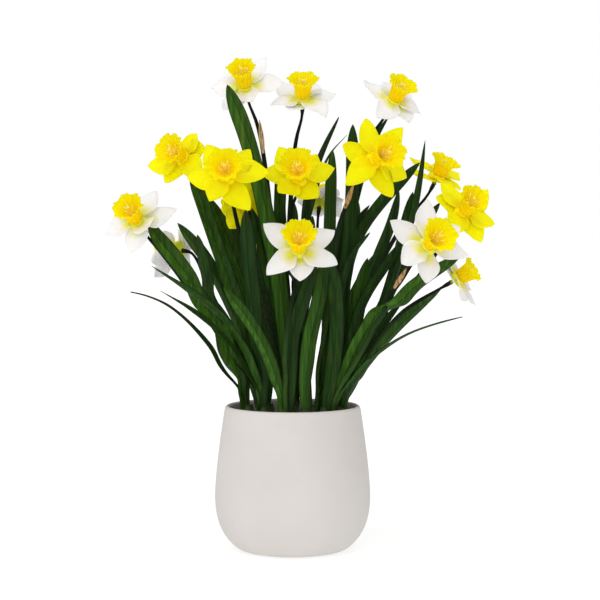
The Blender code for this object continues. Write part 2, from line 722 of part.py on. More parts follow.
def combine(name, first, others, operation, material):
    """One closed body from a shape and others that are joined to it or cut out of it."""
    body = add_object(name, closed_mesh(name, first), material)
    group = bpy.data.collections.new(name + "_shapes")
    bpy.context.scene.collection.children.link(group)
    for number, shape in enumerate(others):
        part_name = f"{name}_shape_{number}"
        add_object(part_name, closed_mesh(part_name, shape), material, group)
    joint = body.modifiers.new(operation.title(), "BOOLEAN")
    joint.operation = operation
    joint.operand_type = "COLLECTION"
    joint.collection = group
    joint.solver = SOLVER
    graph = bpy.context.evaluated_depsgraph_get()
    joined = bpy.data.meshes.new_from_object(body.evaluated_get(graph))
    body.modifiers.clear()
    body.data = joined
    largest_body(joined)
    joined.shade_smooth()
    joined.set_sharp_from_angle(angle=math.radians(40))
    for item in list(group.objects):
        bpy.data.objects.remove(item)
    bpy.data.collections.remove(group)
    return body


def leaf_shape(leaf):
    """A channelled leaf: its hollow side faces the plant's axis."""
    run = distances(leaf.route)
    count = max(4, round(run[-1] / LEAF_SPACING))
    middle = leaf.route[len(leaf.route) // 2]
    shares = [number / count for number in range(count)]
    if leaf.width >= BLUNT_FROM:
        shares.append(1.0 - BLUNT_LAST / run[-1])
    stations = []
    for share in shares:
        station = share * (STATIONS - 1)
        place = at_distance(leaf.route, run, run[-1] * share)
        along = leaf.direction(round(station))
        across = leaf.across(along)
        facing = along.cross(across)
        if facing.dot(Vector((0.0, 0.0, middle.z)) - middle) < 0.0:
            facing = -facing
        stations.append((place, across, facing, leaf.half(share)))
    return blade(stations, LEAF_EDGE, LEAF_MIDDLE, LEAF_FOLD, leaf.route[-1])


def stalk_shape(stalk):
    """Stalk, bent pedicel and ovary, which ends at the flower's tube."""
    return tube(*stalk.stalk_line(), STALK_SIDES)


def neck_shape(x, y):
    """The sheathed neck, from the floor of its hole up to where the leaves part."""
    levels = (
        (SOIL_LEVEL - HOLE_DEPTH + GAP, NECK_RADIUS),
        (SOIL_CROWN + 2.0, NECK_RADIUS),
        (SOIL_CROWN + NECK_RISE, NECK_TOP_RADIUS),
    )
    places = [Vector((x, y, height)) for height, _ in levels]
    return tube(places, [radius for _, radius in levels], NECK_SIDES)


def make_shoots(strands, material):
    """One body for each shoot: neck, leaves and stalks."""
    for shoot, (x, y) in SHOOTS.items():
        own = [strand for strand in strands if strand.shoot == shoot]
        shapes = [stalk_shape(strand) if strand.bloom else leaf_shape(strand) for strand in own]
        combine(f"shoot_{shoot}", neck_shape(x, y), shapes, "UNION", material)


def tepal_shape(bloom, index):
    """One pointed tepal, broadest before its middle."""
    stations = []
    for share, breadth in ((0.0, 0.36), (0.38, 0.98), (0.72, 0.62)):
        angle = bloom.tepal_angle(index, share)
        across = bloom.axis.cross(bloom.radial(angle))
        lift = bloom.tepal_lift(index, share)
        place = bloom.point(angle, bloom.tepal_radius(index, share), lift)
        stations.append((place, across, bloom.axis, TEPAL_WIDTH / 2 * breadth))
    return blade(stations, TEPAL_EDGE, TEPAL_MIDDLE, TEPAL_FOLD, bloom.point(*bloom.tips[index]))


def make_perianth(bloom, material):
    """Six tepals on the flower's tube, one body."""
    profile = (
        (TUBE_BACK, TUBE_RADIUS), (TUBE_BACK / 2, TUBE_RADIUS + 0.8),
        (HUB_BACK, HUB_RADIUS), (HUB_FRONT, HUB_RADIUS),
    )
    places = [bloom.point(0.0, 0.0, along) for along, _ in profile]
    hub = tube(places, [radius for _, radius in profile], HUB_SIDES)
    tepals = [tepal_shape(bloom, index) for index in range(6)]
    combine(f"perianth_{bloom.name}", hub, tepals, "UNION", material)


def corona_shape(bloom):
    """The trumpet: a closed-bottomed cup with a frilled rim."""
    base = HUB_FRONT + GAP
    length = bloom.front - base
    outer = ((0.0, CORONA_BASE_RADIUS), (0.64, CORONA_NECK_RADIUS), (1.0, bloom.mouth))
    inner = ((1.03, bloom.mouth), (0.67, CORONA_NECK_RADIUS), (0.10, CORONA_BASE_RADIUS))
    rings = [(share, radius, share == 1.0) for share, radius in outer]
    rings += [(share, radius - CORONA_WALL, share > 1.0) for share, radius in inner]
    corners = []
    for share, radius, frilled in rings:
        for step in range(CORONA_SIDES):
            wave = CORONA_FRILL * bloom.frill[step] * (1 if step % 2 else -1) if frilled else 0.0
            angle = 2 * math.pi * step / CORONA_SIDES
            corners.append(bloom.point(angle, radius + wave, base + length * share + wave * 0.4))
    faces = bands(len(rings), CORONA_SIDES)
    faces += [tuple(range(CORONA_SIDES)), tuple(range(len(corners) - CORONA_SIDES, len(corners)))]
    return corners, faces


def spike(bloom, angle, ring, radius, height, lean):
    """A three-sided stamen or pistil that stands in the floor of the trumpet."""
    foot = HUB_FRONT + GAP + 1.2
    corners = []
    for step in range(3):
        turn = 2 * math.pi * step / 3
        corners.append(bloom.point(angle, ring, foot) + bloom.radial(turn) * radius)
    corners.append(bloom.point(angle, ring + lean, height))
    return corners, [(0, 1, 2), (0, 1, 3), (1, 2, 3), (2, 0, 3)]


def make_corona(bloom, material):
    """Trumpet, six stamens and pistil, one body."""
    tall = bloom.front
    spikes = [spike(bloom, math.radians(60 * k + 30), 3.2, 1.0, tall * 0.78, 1.6) for k in range(6)]
    spikes.append(spike(bloom, 0.0, 0.0, 1.2, tall * 0.94, 0.0))
    combine(f"corona_{bloom.name}", corona_shape(bloom), spikes, "UNION", material)


def make_spathe(stalk, material):
    """A dry papery sheath that stands against its stalk."""
    foot, tip, away = stalk.spathe_line()
    along = (tip - foot).normalized()
    across = along.cross(away).normalized()
    facing = across.cross(along)
    if facing.dot(away) < 0.0:
        facing = -facing
    stations = []
    for share, breadth in ((0.0, 0.5), (0.35, 1.0), (0.7, 0.7)):
        place = foot.lerp(tip, share)
        stations.append((place, across, facing, SPATHE_WIDTH / 2 * breadth))
    shape = blade(stations, SPATHE_THICK, SPATHE_THICK, 0.1, tip)
    name = f"spathe_{stalk.bloom.name}"
    add_object(name, closed_mesh(name, shape), material)


def pot_inside():
    """The pot's inner face, from the lip down to the floor: radius and height."""
    wall = [(radius - POT_WALL, height) for radius, height in POT_OUTSIDE[3:-1:2]]
    return wall[::-1] + [(52.0, POT_FLOOR)]


def make_pot(material):
    lip_outside, lip_height = POT_OUTSIDE[-1]
    lip = [(lip_outside - 1.6, POT_HEIGHT), (lip_outside - 3.2, lip_height)]
    profile = [(0.0, 0.0), *POT_OUTSIDE, *lip, *pot_inside(), (0.0, POT_FLOOR)]
    mesh = closed_mesh("pot", turned(profile, POT_SIDES))
    mesh.shade_smooth()
    mesh.set_sharp_from_angle(angle=math.radians(40))
    add_object("pot", mesh, material)


def soil_wall(inside):
    """The soil's side, up from the pot's floor: clear of the pot all the way."""
    side = [(radius - 2 * GAP, height + 2 * GAP) for radius, height in reversed(inside)]
    below = [point for point in side if point[1] < SOIL_LEVEL]
    above = next(point for point in side if point[1] >= SOIL_LEVEL)
    share = (SOIL_LEVEL - below[-1][1]) / (above[1] - below[-1][1])
    edge = below[-1][0] + (above[0] - below[-1][0]) * share
    return below + [(edge, SOIL_LEVEL)]


def make_soil(material):
    """Potting mix up to a low crown, with a plain hole for each shoot."""
    crown = [(46.0, SOIL_LEVEL + 1.4), (24.0, SOIL_CROWN - 0.5), (0.0, SOIL_CROWN)]
    profile = [(0.0, POT_FLOOR + GAP), *soil_wall(pot_inside()), *crown]
    reach = NECK_RADIUS + GAP / math.cos(math.pi / NECK_SIDES)
    holes = []
    for x, y in SHOOTS.values():
        ends = [Vector((x, y, SOIL_LEVEL - HOLE_DEPTH)), Vector((x, y, SOIL_CROWN + 5.0))]
        holes.append(tube(ends, (reach, reach), NECK_SIDES))
    combine("soil", turned(profile, POT_SIDES), holes, "DIFFERENCE", material)


def main():
    for item in list(bpy.data.objects):
        bpy.data.objects.remove(item)
    petals = {
        WHITE: finish("white_petal", 0.55, (238, 237, 236)),
        YELLOW: finish("yellow_petal", 0.55, (250, 238, 20)),
    }
    green = finish("leaf_green", 0.5, (44, 84, 36))
    gold = finish("trumpet_gold", 0.5, (253, 196, 4))
    paper = finish("dry_spathe", 0.8, (184, 152, 104))
    make_pot(finish("pot_ceramic", 0.75, (222, 218, 212)))
    make_soil(finish("potting_mix", 0.95, (70, 48, 36)))
    blooms, strands = grow()
    make_shoots(strands, green)
    for bloom in blooms:
        make_perianth(bloom, petals[bloom.colour])
        make_corona(bloom, gold)
    for strand in strands:
        if strand.bloom and strand.bloom.name in SPATHES:
            make_spathe(strand, paper)


main()
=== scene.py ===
"""The looks of the potted daffodil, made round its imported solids.

The layout of the plant, its routes and its sizes are those of the part's source, in
millimetres; the skins that are shown are finer and replace the part's solids.
"""
import math
import random

import bmesh
import bpy
import numpy as np
from mathutils import Matrix, Vector, noise
from mathutils.kdtree import KDTree


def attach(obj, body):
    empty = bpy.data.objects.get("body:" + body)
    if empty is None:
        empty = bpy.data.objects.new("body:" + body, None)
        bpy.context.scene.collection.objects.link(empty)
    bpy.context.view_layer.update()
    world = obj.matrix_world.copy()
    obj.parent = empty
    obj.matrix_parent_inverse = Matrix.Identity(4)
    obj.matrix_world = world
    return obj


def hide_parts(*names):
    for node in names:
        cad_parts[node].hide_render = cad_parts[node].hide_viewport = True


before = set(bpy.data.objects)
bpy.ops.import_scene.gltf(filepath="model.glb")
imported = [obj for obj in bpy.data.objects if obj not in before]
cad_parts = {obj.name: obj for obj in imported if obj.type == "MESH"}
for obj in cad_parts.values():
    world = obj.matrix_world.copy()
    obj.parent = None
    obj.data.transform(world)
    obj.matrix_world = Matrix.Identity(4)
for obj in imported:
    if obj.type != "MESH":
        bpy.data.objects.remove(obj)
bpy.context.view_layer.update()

MM = 0.001
GAP = 0.3                      # between solids that touch

# The front view: how far the eye is from the pot's axis, how steeply it looks down, and the
# place on the axis that it looks at.
SIGHT_DISTANCE = 2000.0
SIGHT_TILT = math.radians(3.2)
SIGHT_ACROSS = 7.4
SIGHT_UP = 251.0

# Pot: outside radius at each height, from the edge of the flat underside up to the lip.
POT_OUTSIDE = (
    (47.0, 0.0), (56.0, 2.0), (68.0, 14.0), (75.5, 30.0), (78.2, 48.0),
    (77.6, 68.0), (74.6, 98.0), (68.3, 142.5), (67.2, 144.6),
)
POT_HEIGHT = 145.6
POT_WALL = 5.2
POT_FLOOR = 8.0
POT_FLOOR_RADIUS = 52.0

# Soil: level at the wall and at the middle.
SOIL_LEVEL = 128.0
SOIL_CROWN = 131.0
HOLE_DEPTH = 12.0

# A shoot's neck: the sheath round the foot of its leaves.
NECK_RADIUS = 8.0
NECK_TOP_RADIUS = 4.5
NECK_RISE = 16.0

# Blades: thickness at the edge and at the middle, and how far the edges stand up, as a share of
# half the width.
LEAF_EDGE = 0.7
LEAF_MIDDLE = 1.5
LEAF_FOLD = 0.28
TEPAL_MIDDLE = 1.2

# Stalk, pedicel and ovary: radius at each distance back from the flower end.
STALK_STEPS = (
    (0.0, 2.0), (3.0, 2.2), (6.0, 1.9), (9.0, 1.5), (15.0, 1.4), (24.0, 1.6), (40.0, 2.0),
    (60.0, 2.2),
)
STALK_RADIUS = 2.2
STALK_SPACING = 62.0
BEND_BACK = 14.0               # from the flower end of a stalk back to its bend

# Bloom: distances along its axis are measured from the plane of the tepals, + to the front.
TUBE_BACK = -7.0
TUBE_RADIUS = 2.6
HUB_BACK = -2.5
HUB_RADIUS = 7.4
HUB_FRONT = 3.2
TEPAL_WIDTH = 25.0
TEPAL_ROOT = 4.5               # where a tepal starts inside the hub
TEPAL_STEP = 1.7               # inner tepals in front, outer ones behind
TEPAL_LEAST = 0.72             # shortest and longest tepal of a bloom, as shares of its length
TEPAL_MOST = 1.08
CORONA_FRILL = 0.9
CORONA_WALL = 1.0
CORONA_SIDES = 12
SPATHE_WIDTH = 5.0
SPATHE_THICK = 0.8
SPATHE_LEAN = 0.12             # how far the tip stands off the stalk, as a share of the length

WHITE = "white"
YELLOW = "yellow"

# Where each shoot leaves the soil.
SHOOTS = {
    "left": (-44, -10),
    "left_front": (-28, -30),
    "front_left": (-8, -44),
    "front_right": (12, -44),
    "right_front": (32, -34),
    "right": (47, -12),
    "middle_left": (-24, 2),
    "middle": (-2, -14),
    "middle_right": (20, -8),
    "right_back": (38, 14),
    "back_left": (-32, 32),
    "back": (0, 38),
    "back_right": (28, 38),
}

# Blooms: name, colour, place in the front view, depth, axis, length of a tepal, front and mouth
# radius of the trumpet, shoot, the places in the front view that the stalk passes, upwards, and
# where the six tepals point in the front view, from the bloom's place, all the way round.
BLOOMS = (
    ("top_left", WHITE, (-47, 462), 8, (-.14, -.68, .72), 39, 27, 13.5, "middle",
     ((-10, 200), (-18, 300), (-27, 385), (-34, 425)),
     ((20, 30), (38, 5), (6, -14), (-22, -22), (-34, 0), (-16, 24))),
    ("top_middle", WHITE, (10, 450), 15, (.02, -.50, .86), 38, 24, 15.0, "back",
     ((0, 200), (-4, 300), (0, 385), (4, 415)),
     ((10, 17), (33, 6), (23, -16), (-14, -9), (-32, -5), (-24, 19))),
    ("top_right", WHITE, (100, 448), 5, (.41, -.50, .77), 38, 24, 15.0, "back_right",
     ((35, 200), (45, 300), (60, 364), (76, 412)),
     ((0, 19), (15, 10), (28, -11), (16, -20), (-16, -17), (-30, 20))),
    ("left_high", YELLOW, (-109, 393), -5, (-.55, -.76, .34), 37, 25, 16.0, "middle_left",
     ((-40, 200), (-66, 270), (-81, 328), (-87, 358)),
     ((13, 24), (22, 10), (18, -20), (-18, -25), (-35, -9), (-20, 16))),
    ("left_inner", YELLOW, (-65, 374), -58, (-.08, -.90, .42), 41, 28, 17.5, "middle",
     ((-12, 170), (-35, 240), (-54, 322), (-60, 349)),
     ((-21, 30), (23, 26), (42, 4), (22, -34), (-18, -24), (-40, -1))),
    ("middle_high", YELLOW, (6, 372), -35, (-.05, -.86, .50), 40, 29, 18.0, "middle_right",
     ((16, 180), (8, 250), (-2, 320), (-2, 343)),
     ((-19, 31), (18, 24), (36, 11), (19, -20), (-20, -14), (-36, 6))),
    ("right_inner", YELLOW, (82, 391), -50, (.50, -.81, .28), 41, 28, 17.5, "middle_right",
     ((28, 180), (36, 250), (43, 315), (51, 339), (61, 366)),
     ((-10, 40), (27, 31), (32, -18), (16, -38), (-29, -25), (-33, 14))),
    ("right_high", YELLOW, (144, 373), 35, (.42, -.30, .86), 38, 21, 15.0, "right_back",
     ((50, 180), (70, 250), (100, 312), (121, 339)),
     ((-28, 20), (0, 11), (20, 3), (24, -11), (5, -6), (-22, 2))),
    ("far_right", YELLOW, (170, 338), -20, (.38, -.72, .58), 38, 27, 14.5, "right_back",
     ((62, 180), (100, 240), (136, 288), (150, 306)),
     ((-21, 31), (24, 23), (31, -12), (18, -30), (-9, -20), (-26, 17))),
    ("far_left", WHITE, (-155, 329), -25, (-.30, -.75, .59), 39, 27, 15.0, "middle_left",
     ((-50, 185), (-84, 232), (-112, 274), (-134, 302)),
     ((19, 31), (40, 12), (10, -8), (-5, -30), (-31, -13), (-18, 18))),
    ("left_turned", WHITE, (-115, 301), 55, (-.80, .50, .10), 38, 20, 12.0, "back_left",
     ((-50, 190), (-72, 235), (-86, 268)),
     ((-17, 16), (3, 17), (15, 2), (12, -14), (-24, -27), (-27, -12))),
    ("front_middle", WHITE, (6, 300), -80, (.03, -.77, .64), 41, 28, 16.5, "front_left",
     ((-8, 170), (-8, 198), (-4, 235), (2, 262)),
     ((2, 24), (36, 20), (39, -13), (1, -30), (-32, -23), (-35, 28))),
    ("right_low", WHITE, (135, 305), -66, (.40, -.80, .42), 43, 28, 17.5, "right_front",
     ((48, 165), (75, 215), (92, 246), (103, 261), (114, 279)),
     ((-2, 45), (32, 20), (39, -10), (-3, -38), (-27, -19), (-38, 25))),
    ("far_right_low", WHITE, (164, 272), -25, (.82, -.25, .50), 32, 20, 12.5, "right",
     ((58, 165), (78, 200), (105, 236), (127, 251)),
     ((-16, 26), (-2, 16), (14, -9), (19, -26), (4, -22), (-11, 12))),
    ("behind_left", YELLOW, (-49, 347), -18, (-.30, .90, .10), 34, 25, 15.0, "left_front",
     ((-38, 190), (-42, 260), (-42, 310)),
     ((2, 30), (24, 12), (15, -17), (-14, -25), (-22, -6), (-18, 18))),
    ("behind_middle", WHITE, (27, 348), 75, (.10, .60, .79), 36, 17, 10.0, "back",
     ((5, 180), (15, 250), (24, 300)),
     ((12, 16), (24, 3), (20, -13), (-5, -14), (-22, 0), (-12, 16))),
)

# Dry spathes: how high on the stalk each one starts and ends, and the side of the stalk that it
# is on, in degrees (0 right, 90 front, 180 left).
SPATHES = {
    "top_left": (397, 430, 85),
    "left_high": (328, 356, 143),
    "right_inner": (343, 368, 95),
    "far_right": (282, 306, 143),
    "right_low": (265, 285, 125),
    "behind_left": (280, 308, 37),
}

# Leaves of each shoot: width, turn of the blade about the vertical in degrees (0 shows its
# breadth to the front), depth of the tip, and places in the front view, upwards.
LEAVES = {
    "left": (
        (6, 55, -25, ((-48, 153), (-69, 187), (-96, 221), (-122, 245), (-145, 255), (-162, 259))),
        (17, 25, -22, ((-50, 165), (-64, 201), (-83, 242), (-108, 281), (-153, 334))),
        (14, -30, -16, ((-52, 160), (-68, 206), (-85, 266), (-95, 316))),
    ),
    "left_front": (
        (8, 55, -40, ((-31, 157), (-42, 180), (-68, 214), (-97, 239), (-132, 260))),
        (10, -35, -45, ((-33, 170), (-59, 222), (-82, 245), (-114, 267), (-141, 285))),
        (15, 20, 0, ((-30, 160), (-40, 205), (-68, 282), (-88, 341), (-105, 394))),
        (17, -25, -46, ((-31, 160), (-35, 201), (-39, 235), (-46, 311), (-47, 341))),
    ),
    "front_left": (
        (12, 10, -78, ((-10, 157), (-19, 181), (-28, 204), (-42, 229), (-69, 264))),
        (14, -20, -52, ((-3, 160), (-2, 211), (5, 236), (13, 259), (25, 289))),
    ),
    "front_right": (
        (16, 25, -48, ((12, 160), (15, 185), (17, 211), (27, 249), (34, 300))),
    ),
    "right_front": (
        (15, -15, -58, ((35, 155), (39, 179), (44, 215), (43, 251), (40, 290))),
        (15, 15, -50, ((47, 160), (74, 221), (97, 246), (130, 271), (155, 287), (167, 294))),
        (9, 60, -45, ((50, 159), (65, 179), (84, 196), (112, 216), (142, 227), (170, 234))),
    ),
    "right": (
        (12, 20, -12, ((49, 158), (67, 181), (87, 204), (117, 237), (148, 261))),
        (9, -30, 0, ((50, 165), (62, 189), (88, 223), (113, 254))),
        (11, 40, -32, ((52, 151), (62, 169), (75, 185), (85, 198))),
        (12, 30, 8, ((52, 170), (62, 226), (73, 255), (95, 287), (108, 308))),
    ),
    "middle_left": (
        (13, -20, 24, ((-30, 180), (-57, 233), (-72, 266), (-86, 292), (-99, 308), (-115, 328))),
        (14, 15, 24, ((-24, 160), (-35, 215), (-47, 266), (-64, 313), (-83, 353))),
        (9, 40, 32, ((-22, 160), (-34, 230), (-50, 300), (-69, 349))),
    ),
    "middle": (
        (17, 20, -30, ((-3, 160), (-10, 251), (-18, 301), (-41, 406), (-65, 465))),
        (15, 30, -12, ((-3, 206), (-12, 241), (-23, 279), (-32, 311), (-41, 343))),
    ),
    "middle_right": (
        (13, 25, -10, ((32, 160), (36, 206), (37, 240), (37, 296), (39, 371), (40, 401))),
        (14, -25, -8, ((37, 160), (47, 221), (56, 301), (61, 366), (60, 426))),
        (10, 35, -28, ((30, 170), (42, 220), (54, 291), (77, 318))),
    ),
    "right_back": (
        (8, 30, -14, ((60, 180), (95, 250), (120, 331), (128, 373), (132, 410))),
        (12, 15, 4, ((44, 160), (50, 240), (56, 296), (79, 339), (127, 388))),
        (14, -25, 25, ((52, 150), (67, 181), (95, 251), (112, 311), (120, 359))),
        (16, -20, 10, ((47, 155), (55, 191), (67, 251), (75, 293))),
        (12, 35, 26, ((44, 180), (52, 270), (65, 328), (77, 346))),
        (12, 20, 50, ((63, 190), (103, 270), (131, 325), (147, 348))),
    ),
    "back_left": (
        (15, 25, 85, ((-50, 200), (-62, 270), (-68, 330))),
        (14, -35, 55, ((-40, 200), (-48, 280), (-38, 355))),
        (13, 50, 112, ((-42, 170), (-60, 220), (-88, 262))),
    ),
    "back": (
        (13, 20, 25, ((-5, 200), (-9, 300), (-12, 360), (-14, 392))),
        (11, 40, 30, ((4, 200), (5, 280), (12, 351), (26, 394), (46, 433))),
        (6, -40, 50, ((6, 220), (8, 300), (30, 390), (54, 415))),
        (13, 20, 28, ((0, 200), (-2, 300), (-1, 349))),
        (15, -15, 95, ((0, 180), (8, 260), (20, 335))),
        (16, 30, 118, ((-8, 170), (-22, 225), (-33, 265), (-40, 300))),
    ),
    "back_right": (
        (12, 30, 55, ((42, 180), (68, 251), (77, 276), (87, 301), (99, 329), (106, 361))),
        (11, -10, 30, ((34, 200), (49, 290), (64, 368), (80, 410), (96, 434))),
        (15, 25, 90, ((40, 200), (62, 260), (92, 305))),
        (14, -30, 66, ((35, 190), (54, 270), (66, 348))),
        (12, 10, 118, ((32, 175), (34, 225), (46, 278))),
    ),
}
LEAF_SWELL = 0.55              # share of the width at the foot
LEAF_SWELL_RATE = 1.3
LEAF_TAPER = 0.22              # share of the length that narrows to the tip of a narrow leaf
LEAF_TAPER_CURVE = 0.6
BLUNT_FROM = 12                # leaves this wide end in an arched tip instead
BLUNT_LENGTH = 36.0
BLUNT_ARCH = 0.72
ROOT_SPREAD = 3.6              # how far from the neck's middle a leaf or stalk starts
ROOT_RISE = 8.0                # how far it goes straight up
DEPTH_CURVE = 1.3              # how late on its way up it reaches its depth
CORNER_CUTS = 3                # how often the corners of a route are cut

# Bending clear: strands are followed by beads, which push each other apart.
STATIONS = 44
LEAF_BEAD = 2.7
STALK_BEAD = 3.4
TEPAL_BEAD = 5.2
SPATHE_BEAD = 3.2
ROUNDS = 70
FREE_RISE = 45.0               # strands of one shoot may touch this far above the soil
SIDE_SHARE = 0.35              # share of a push that goes sideways and not in depth
# Beads of a tepal: share of its length, and radians to the side.
TEPAL_BEADS = ((0.2, 0.0), (0.4, 0.30), (0.4, -0.30), (0.64, 0.26), (0.64, -0.26), (0.84, 0.10),
               (0.84, -0.10))
PUSH_PASSES = 4                # how often pushes are smoothed along a strand
PUSH_GAIN = 1.6
FOOT_HELD = 10.0               # height above the soil up to which a strand stays where it is
FOOT_EASE = 30.0               # and over which it gets free to move
END_HELD = 8                   # stations of a stalk that stay with its flower
END_EASE = 6
BLOOM_GAIN = 0.5

# Fine skins: rows follow one another along a form, columns lie side by side across a blade,
# and sides go round a bar.
CORNER_VALUES = ("along", "aside", "tone")   # numbers that corners carry for the materials
PHASES = (0.0, 6.0)            # where a wave may start, in radians
ROUTE_PASSES = 3               # how often a route is smoothed
LEAF_ROWS = 52
LEAF_DENSE = 0.9               # beyond this share of a leaf its rows lie closer, up to the tip
LEAF_TIP_ROWS = 16
LEAF_COLUMNS = 13
LEAF_LEAST = 0.25              # half of the width that is left at the tip
LEAF_FULL = 3.0                # half of the width from which a leaf has its full thickness
LEAF_THINNEST = 0.35           # share of the thickness that is left at the tip
LEAF_FOLD_TIP = 0.75           # share of the fold that is left at the tip
LEAF_FOLD_MORE = 0.35          # and how much is added towards the foot
LEAF_RIDGES = 3                # fine ridges side by side on each face of a leaf
LEAF_RIDGE = 0.06
LEAF_WAVE = 0.5
LEAF_WAVE_TURNS = (9.0, 15.0)  # radians of edge wave along a leaf
STALK_ROWS = 50
BEND_ROWS = 40                 # rows from the flower end down to where a stalk is plain
STALK_FINE_SIDES = 14
NECK_ROWS = 24
NECK_FINE_SIDES = 24
NECK_STRAIGHT = 2.0            # how far above the soil a neck starts to narrow
NECK_INSET = 0.95              # share of its radius about which a neck's sheaths ripple
NECK_RIPPLE = 0.03
NECK_RIPPLES = 0.9             # radians a millimetre
TEPAL_ROWS = 26
TEPAL_COLUMNS = 15
TEPAL_OUTLINE = ((0.0, 0.34), (0.16, 0.74), (0.34, 1.0), (0.50, 0.97), (0.66, 0.81),
                 (0.80, 0.58), (0.92, 0.30), (1.0, 0.04))
TEPAL_BOW = 0.16               # how far a tepal's middle bows aside, as a share of its width
TEPAL_EDGE_FINE = 0.45         # thickness at its edge
TEPAL_FULL = 2.5               # half of the width from which a tepal has its full thickness
TEPAL_THINNEST = 0.4
TEPAL_TWIST = 0.22
TEPAL_CUP = 1.8
TEPAL_CUPS = (0.6, 1.3)        # least and most cupped, as shares of that
TEPAL_WAVE = 0.8
TEPAL_WAVE_TURNS = (7.0, 10.0)
TEPAL_TIP_TURN = (-1.5, 2.5)   # how far a tip turns back or up
TEPAL_TIP_FROM = 0.75          # share of the length where the tip starts to turn
TEPAL_GROOVE = 0.45            # depth of the groove along its middle
TEPAL_GROOVE_WIDTH = 0.09      # as a share of half the width
TEPAL_RIB = 0.09
TEPAL_RIBS = 6                 # fine ribs side by side
TUBE_ROWS = 26
TUBE_SIDES = 24
TUBE_SWELL = 0.8               # how much its radius grows halfway to the bloom's plane
HUB_TRIM = (0.94, 0.97)        # shares of the hub's radius behind and in front
TRUMPET_ROWS = 34
TRUMPET_SIDES = 132
TRUMPET_OUTLINE = ((0.0, 6.4), (0.10, 7.2), (0.40, 8.2), (0.66, 9.6), (0.82, 11.8), (0.94, 14.6),
                   (1.0, 15.6))
THROAT_FLOOR = 0.35            # share of a trumpet's length where its inside ends
TRUMPET_THINNING = 0.45        # how much thinner its wall is at the rim
FLARE_FROM = 0.62              # share of the length where the mouth starts to flare
FRILL_RISE = 0.4               # how far the rim moves along the axis, as a share of how far out
RUFFLE = 1.5
RUFFLE_RISE = 0.7
RUFFLES = ((11, 0.6), (17, 0.45))   # waves round the rim and the height of each kind
NOTCHES = 19                   # pairs of notches round the rim
NOTCH = 1.7
NOTCH_FROM = 0.9
FLUTES = 12
FLUTE = 0.35
FINE_RIBS = 47
FINE_RIB = 0.07
ROD_ROWS = 12
ROD_SIDES = 8
STAMEN_SINK = 1.0              # how far stamens and pistil stand in the throat's floor
STAMEN_JITTER = 0.2            # radians off their even places round the throat
FILAMENT = (0.45, 0.3)         # radius at the foot and at the top
FILAMENT_FOOT = 2.0            # how far from the axis a filament stands
# An anther: share of the stamen's lean, distance below its top, and radius.
ANTHER = ((0.75, 5.0, 0.25), (0.85, 3.5, 0.5), (1.0, 1.0, 0.45), (1.1, 0.0, 0.2))
STAMEN_HEIGHTS = (0.78, 0.95)  # as shares of the trumpet's front
STAMEN_LEANS = (4.4, 6.4)
PISTIL_HEIGHT = 0.95
PISTIL = (0.7, 0.5)
# One of the three lobes of its tip: distance from the axis and below the top, and radius.
PISTIL_LOBE = ((0.0, 3.0, 0.6), (0.9, 1.0, 0.7), (1.9, 0.0, 0.35))
SPATHE_ROWS = 30
SPATHE_COLUMNS = 9
SPATHE_OUTLINE = ((0.0, 0.5), (0.35, 1.0), (0.7, 0.75), (0.92, 0.3), (1.0, 0.06))
SPATHE_CUP = 0.3
SPATHE_LIFT = 1.2              # how far its tip stands off
SPATHE_CREASE = 0.35           # height of its creases
SPATHE_SKIN = 0.35             # half of its thickness, as a share of the solid's
POT_FINE_SIDES = 128
POT_MIDDLE = 20.0              # inner radius of the rings under and on the pot's floor
POT_UNDER = 46.0               # radius of the flat underside
LIP_IN = (1.6, 3.4)            # how far the lip's top and its inner edge lie inside the outer edge
SOIL_SIDES = 120
SOIL_RINGS = 46
SOIL_SPAN = 60.0               # radius over which the soil falls from its crown
SOIL_SINK = 0.6
SOIL_LUMPS = ((0.11, 1.6), (0.31, 1.1), (0.9, 0.6))   # how fine and how high, coarse to fine
BIT_REACH = 58.0               # how far from the axis bits lie
BIT_SIT = 0.4                  # how far a bit's middle stands over the soil, as a share
# Bits on the soil: how many, least and most size, and how flat.
BARK = (170, (1.0, 2.6), 0.45)
BARK_STRETCH = (1.2, 2.4)
CLAY = (28, (1.2, 2.4), 0.7)
CLAY_STRETCH = 1.2
PERLITE = (46, (0.7, 1.5), 0.8)
PERLITE_STRETCH = 1.1
DENTS = (0.75, 1.15)           # shares of a bit's size that its corners stand out
BIT_TILT = 0.5

# Colours as they look on a screen, from 0 to 255. A ramp is a row of places, each with a colour.
LEAF_GREENS = ((0.30, (38, 70, 18)), (0.50, (50, 90, 26)), (0.70, (70, 114, 38)))
LEAF_TONES = ((0.0, (62, 80, 80)), (0.4, (108, 116, 106)), (0.8, (150, 152, 128)),
              (1.0, (196, 190, 148)))
# Painted shade on the leaves: one half of each folded blade, its edges and its crease.
LEAF_PAINTED_SHADE_HALF = (26, 40, 14)
LEAF_RIM_PAINTED_SHADE = (8, 20, 4)
LEAF_CREASE_PAINTED_SHADE = (7, 18, 5)
LEAF_RUSSET = (66, 50, 20)
# Stalk, from the flower end down: olive ovary, then near-black, which is painted shade under the
# blooms, then green to the foot.
STALK_GREENS_AND_PAINTED_SHADE = ((0.0, (40, 48, 16)), (0.025, (9, 13, 6)), (0.20, (11, 18, 8)),
                (0.45, (34, 60, 20)), (1.0, (60, 92, 34)))
STALK_MOTTLE = ((0.3, (90, 90, 90)), (0.8, (180, 180, 180)))
NECK_TONES = ((0.0, (120, 112, 72)), (0.5, (58, 74, 34)), (1.0, (26, 48, 16)))
TUBE_GREEN = (58, 70, 16)
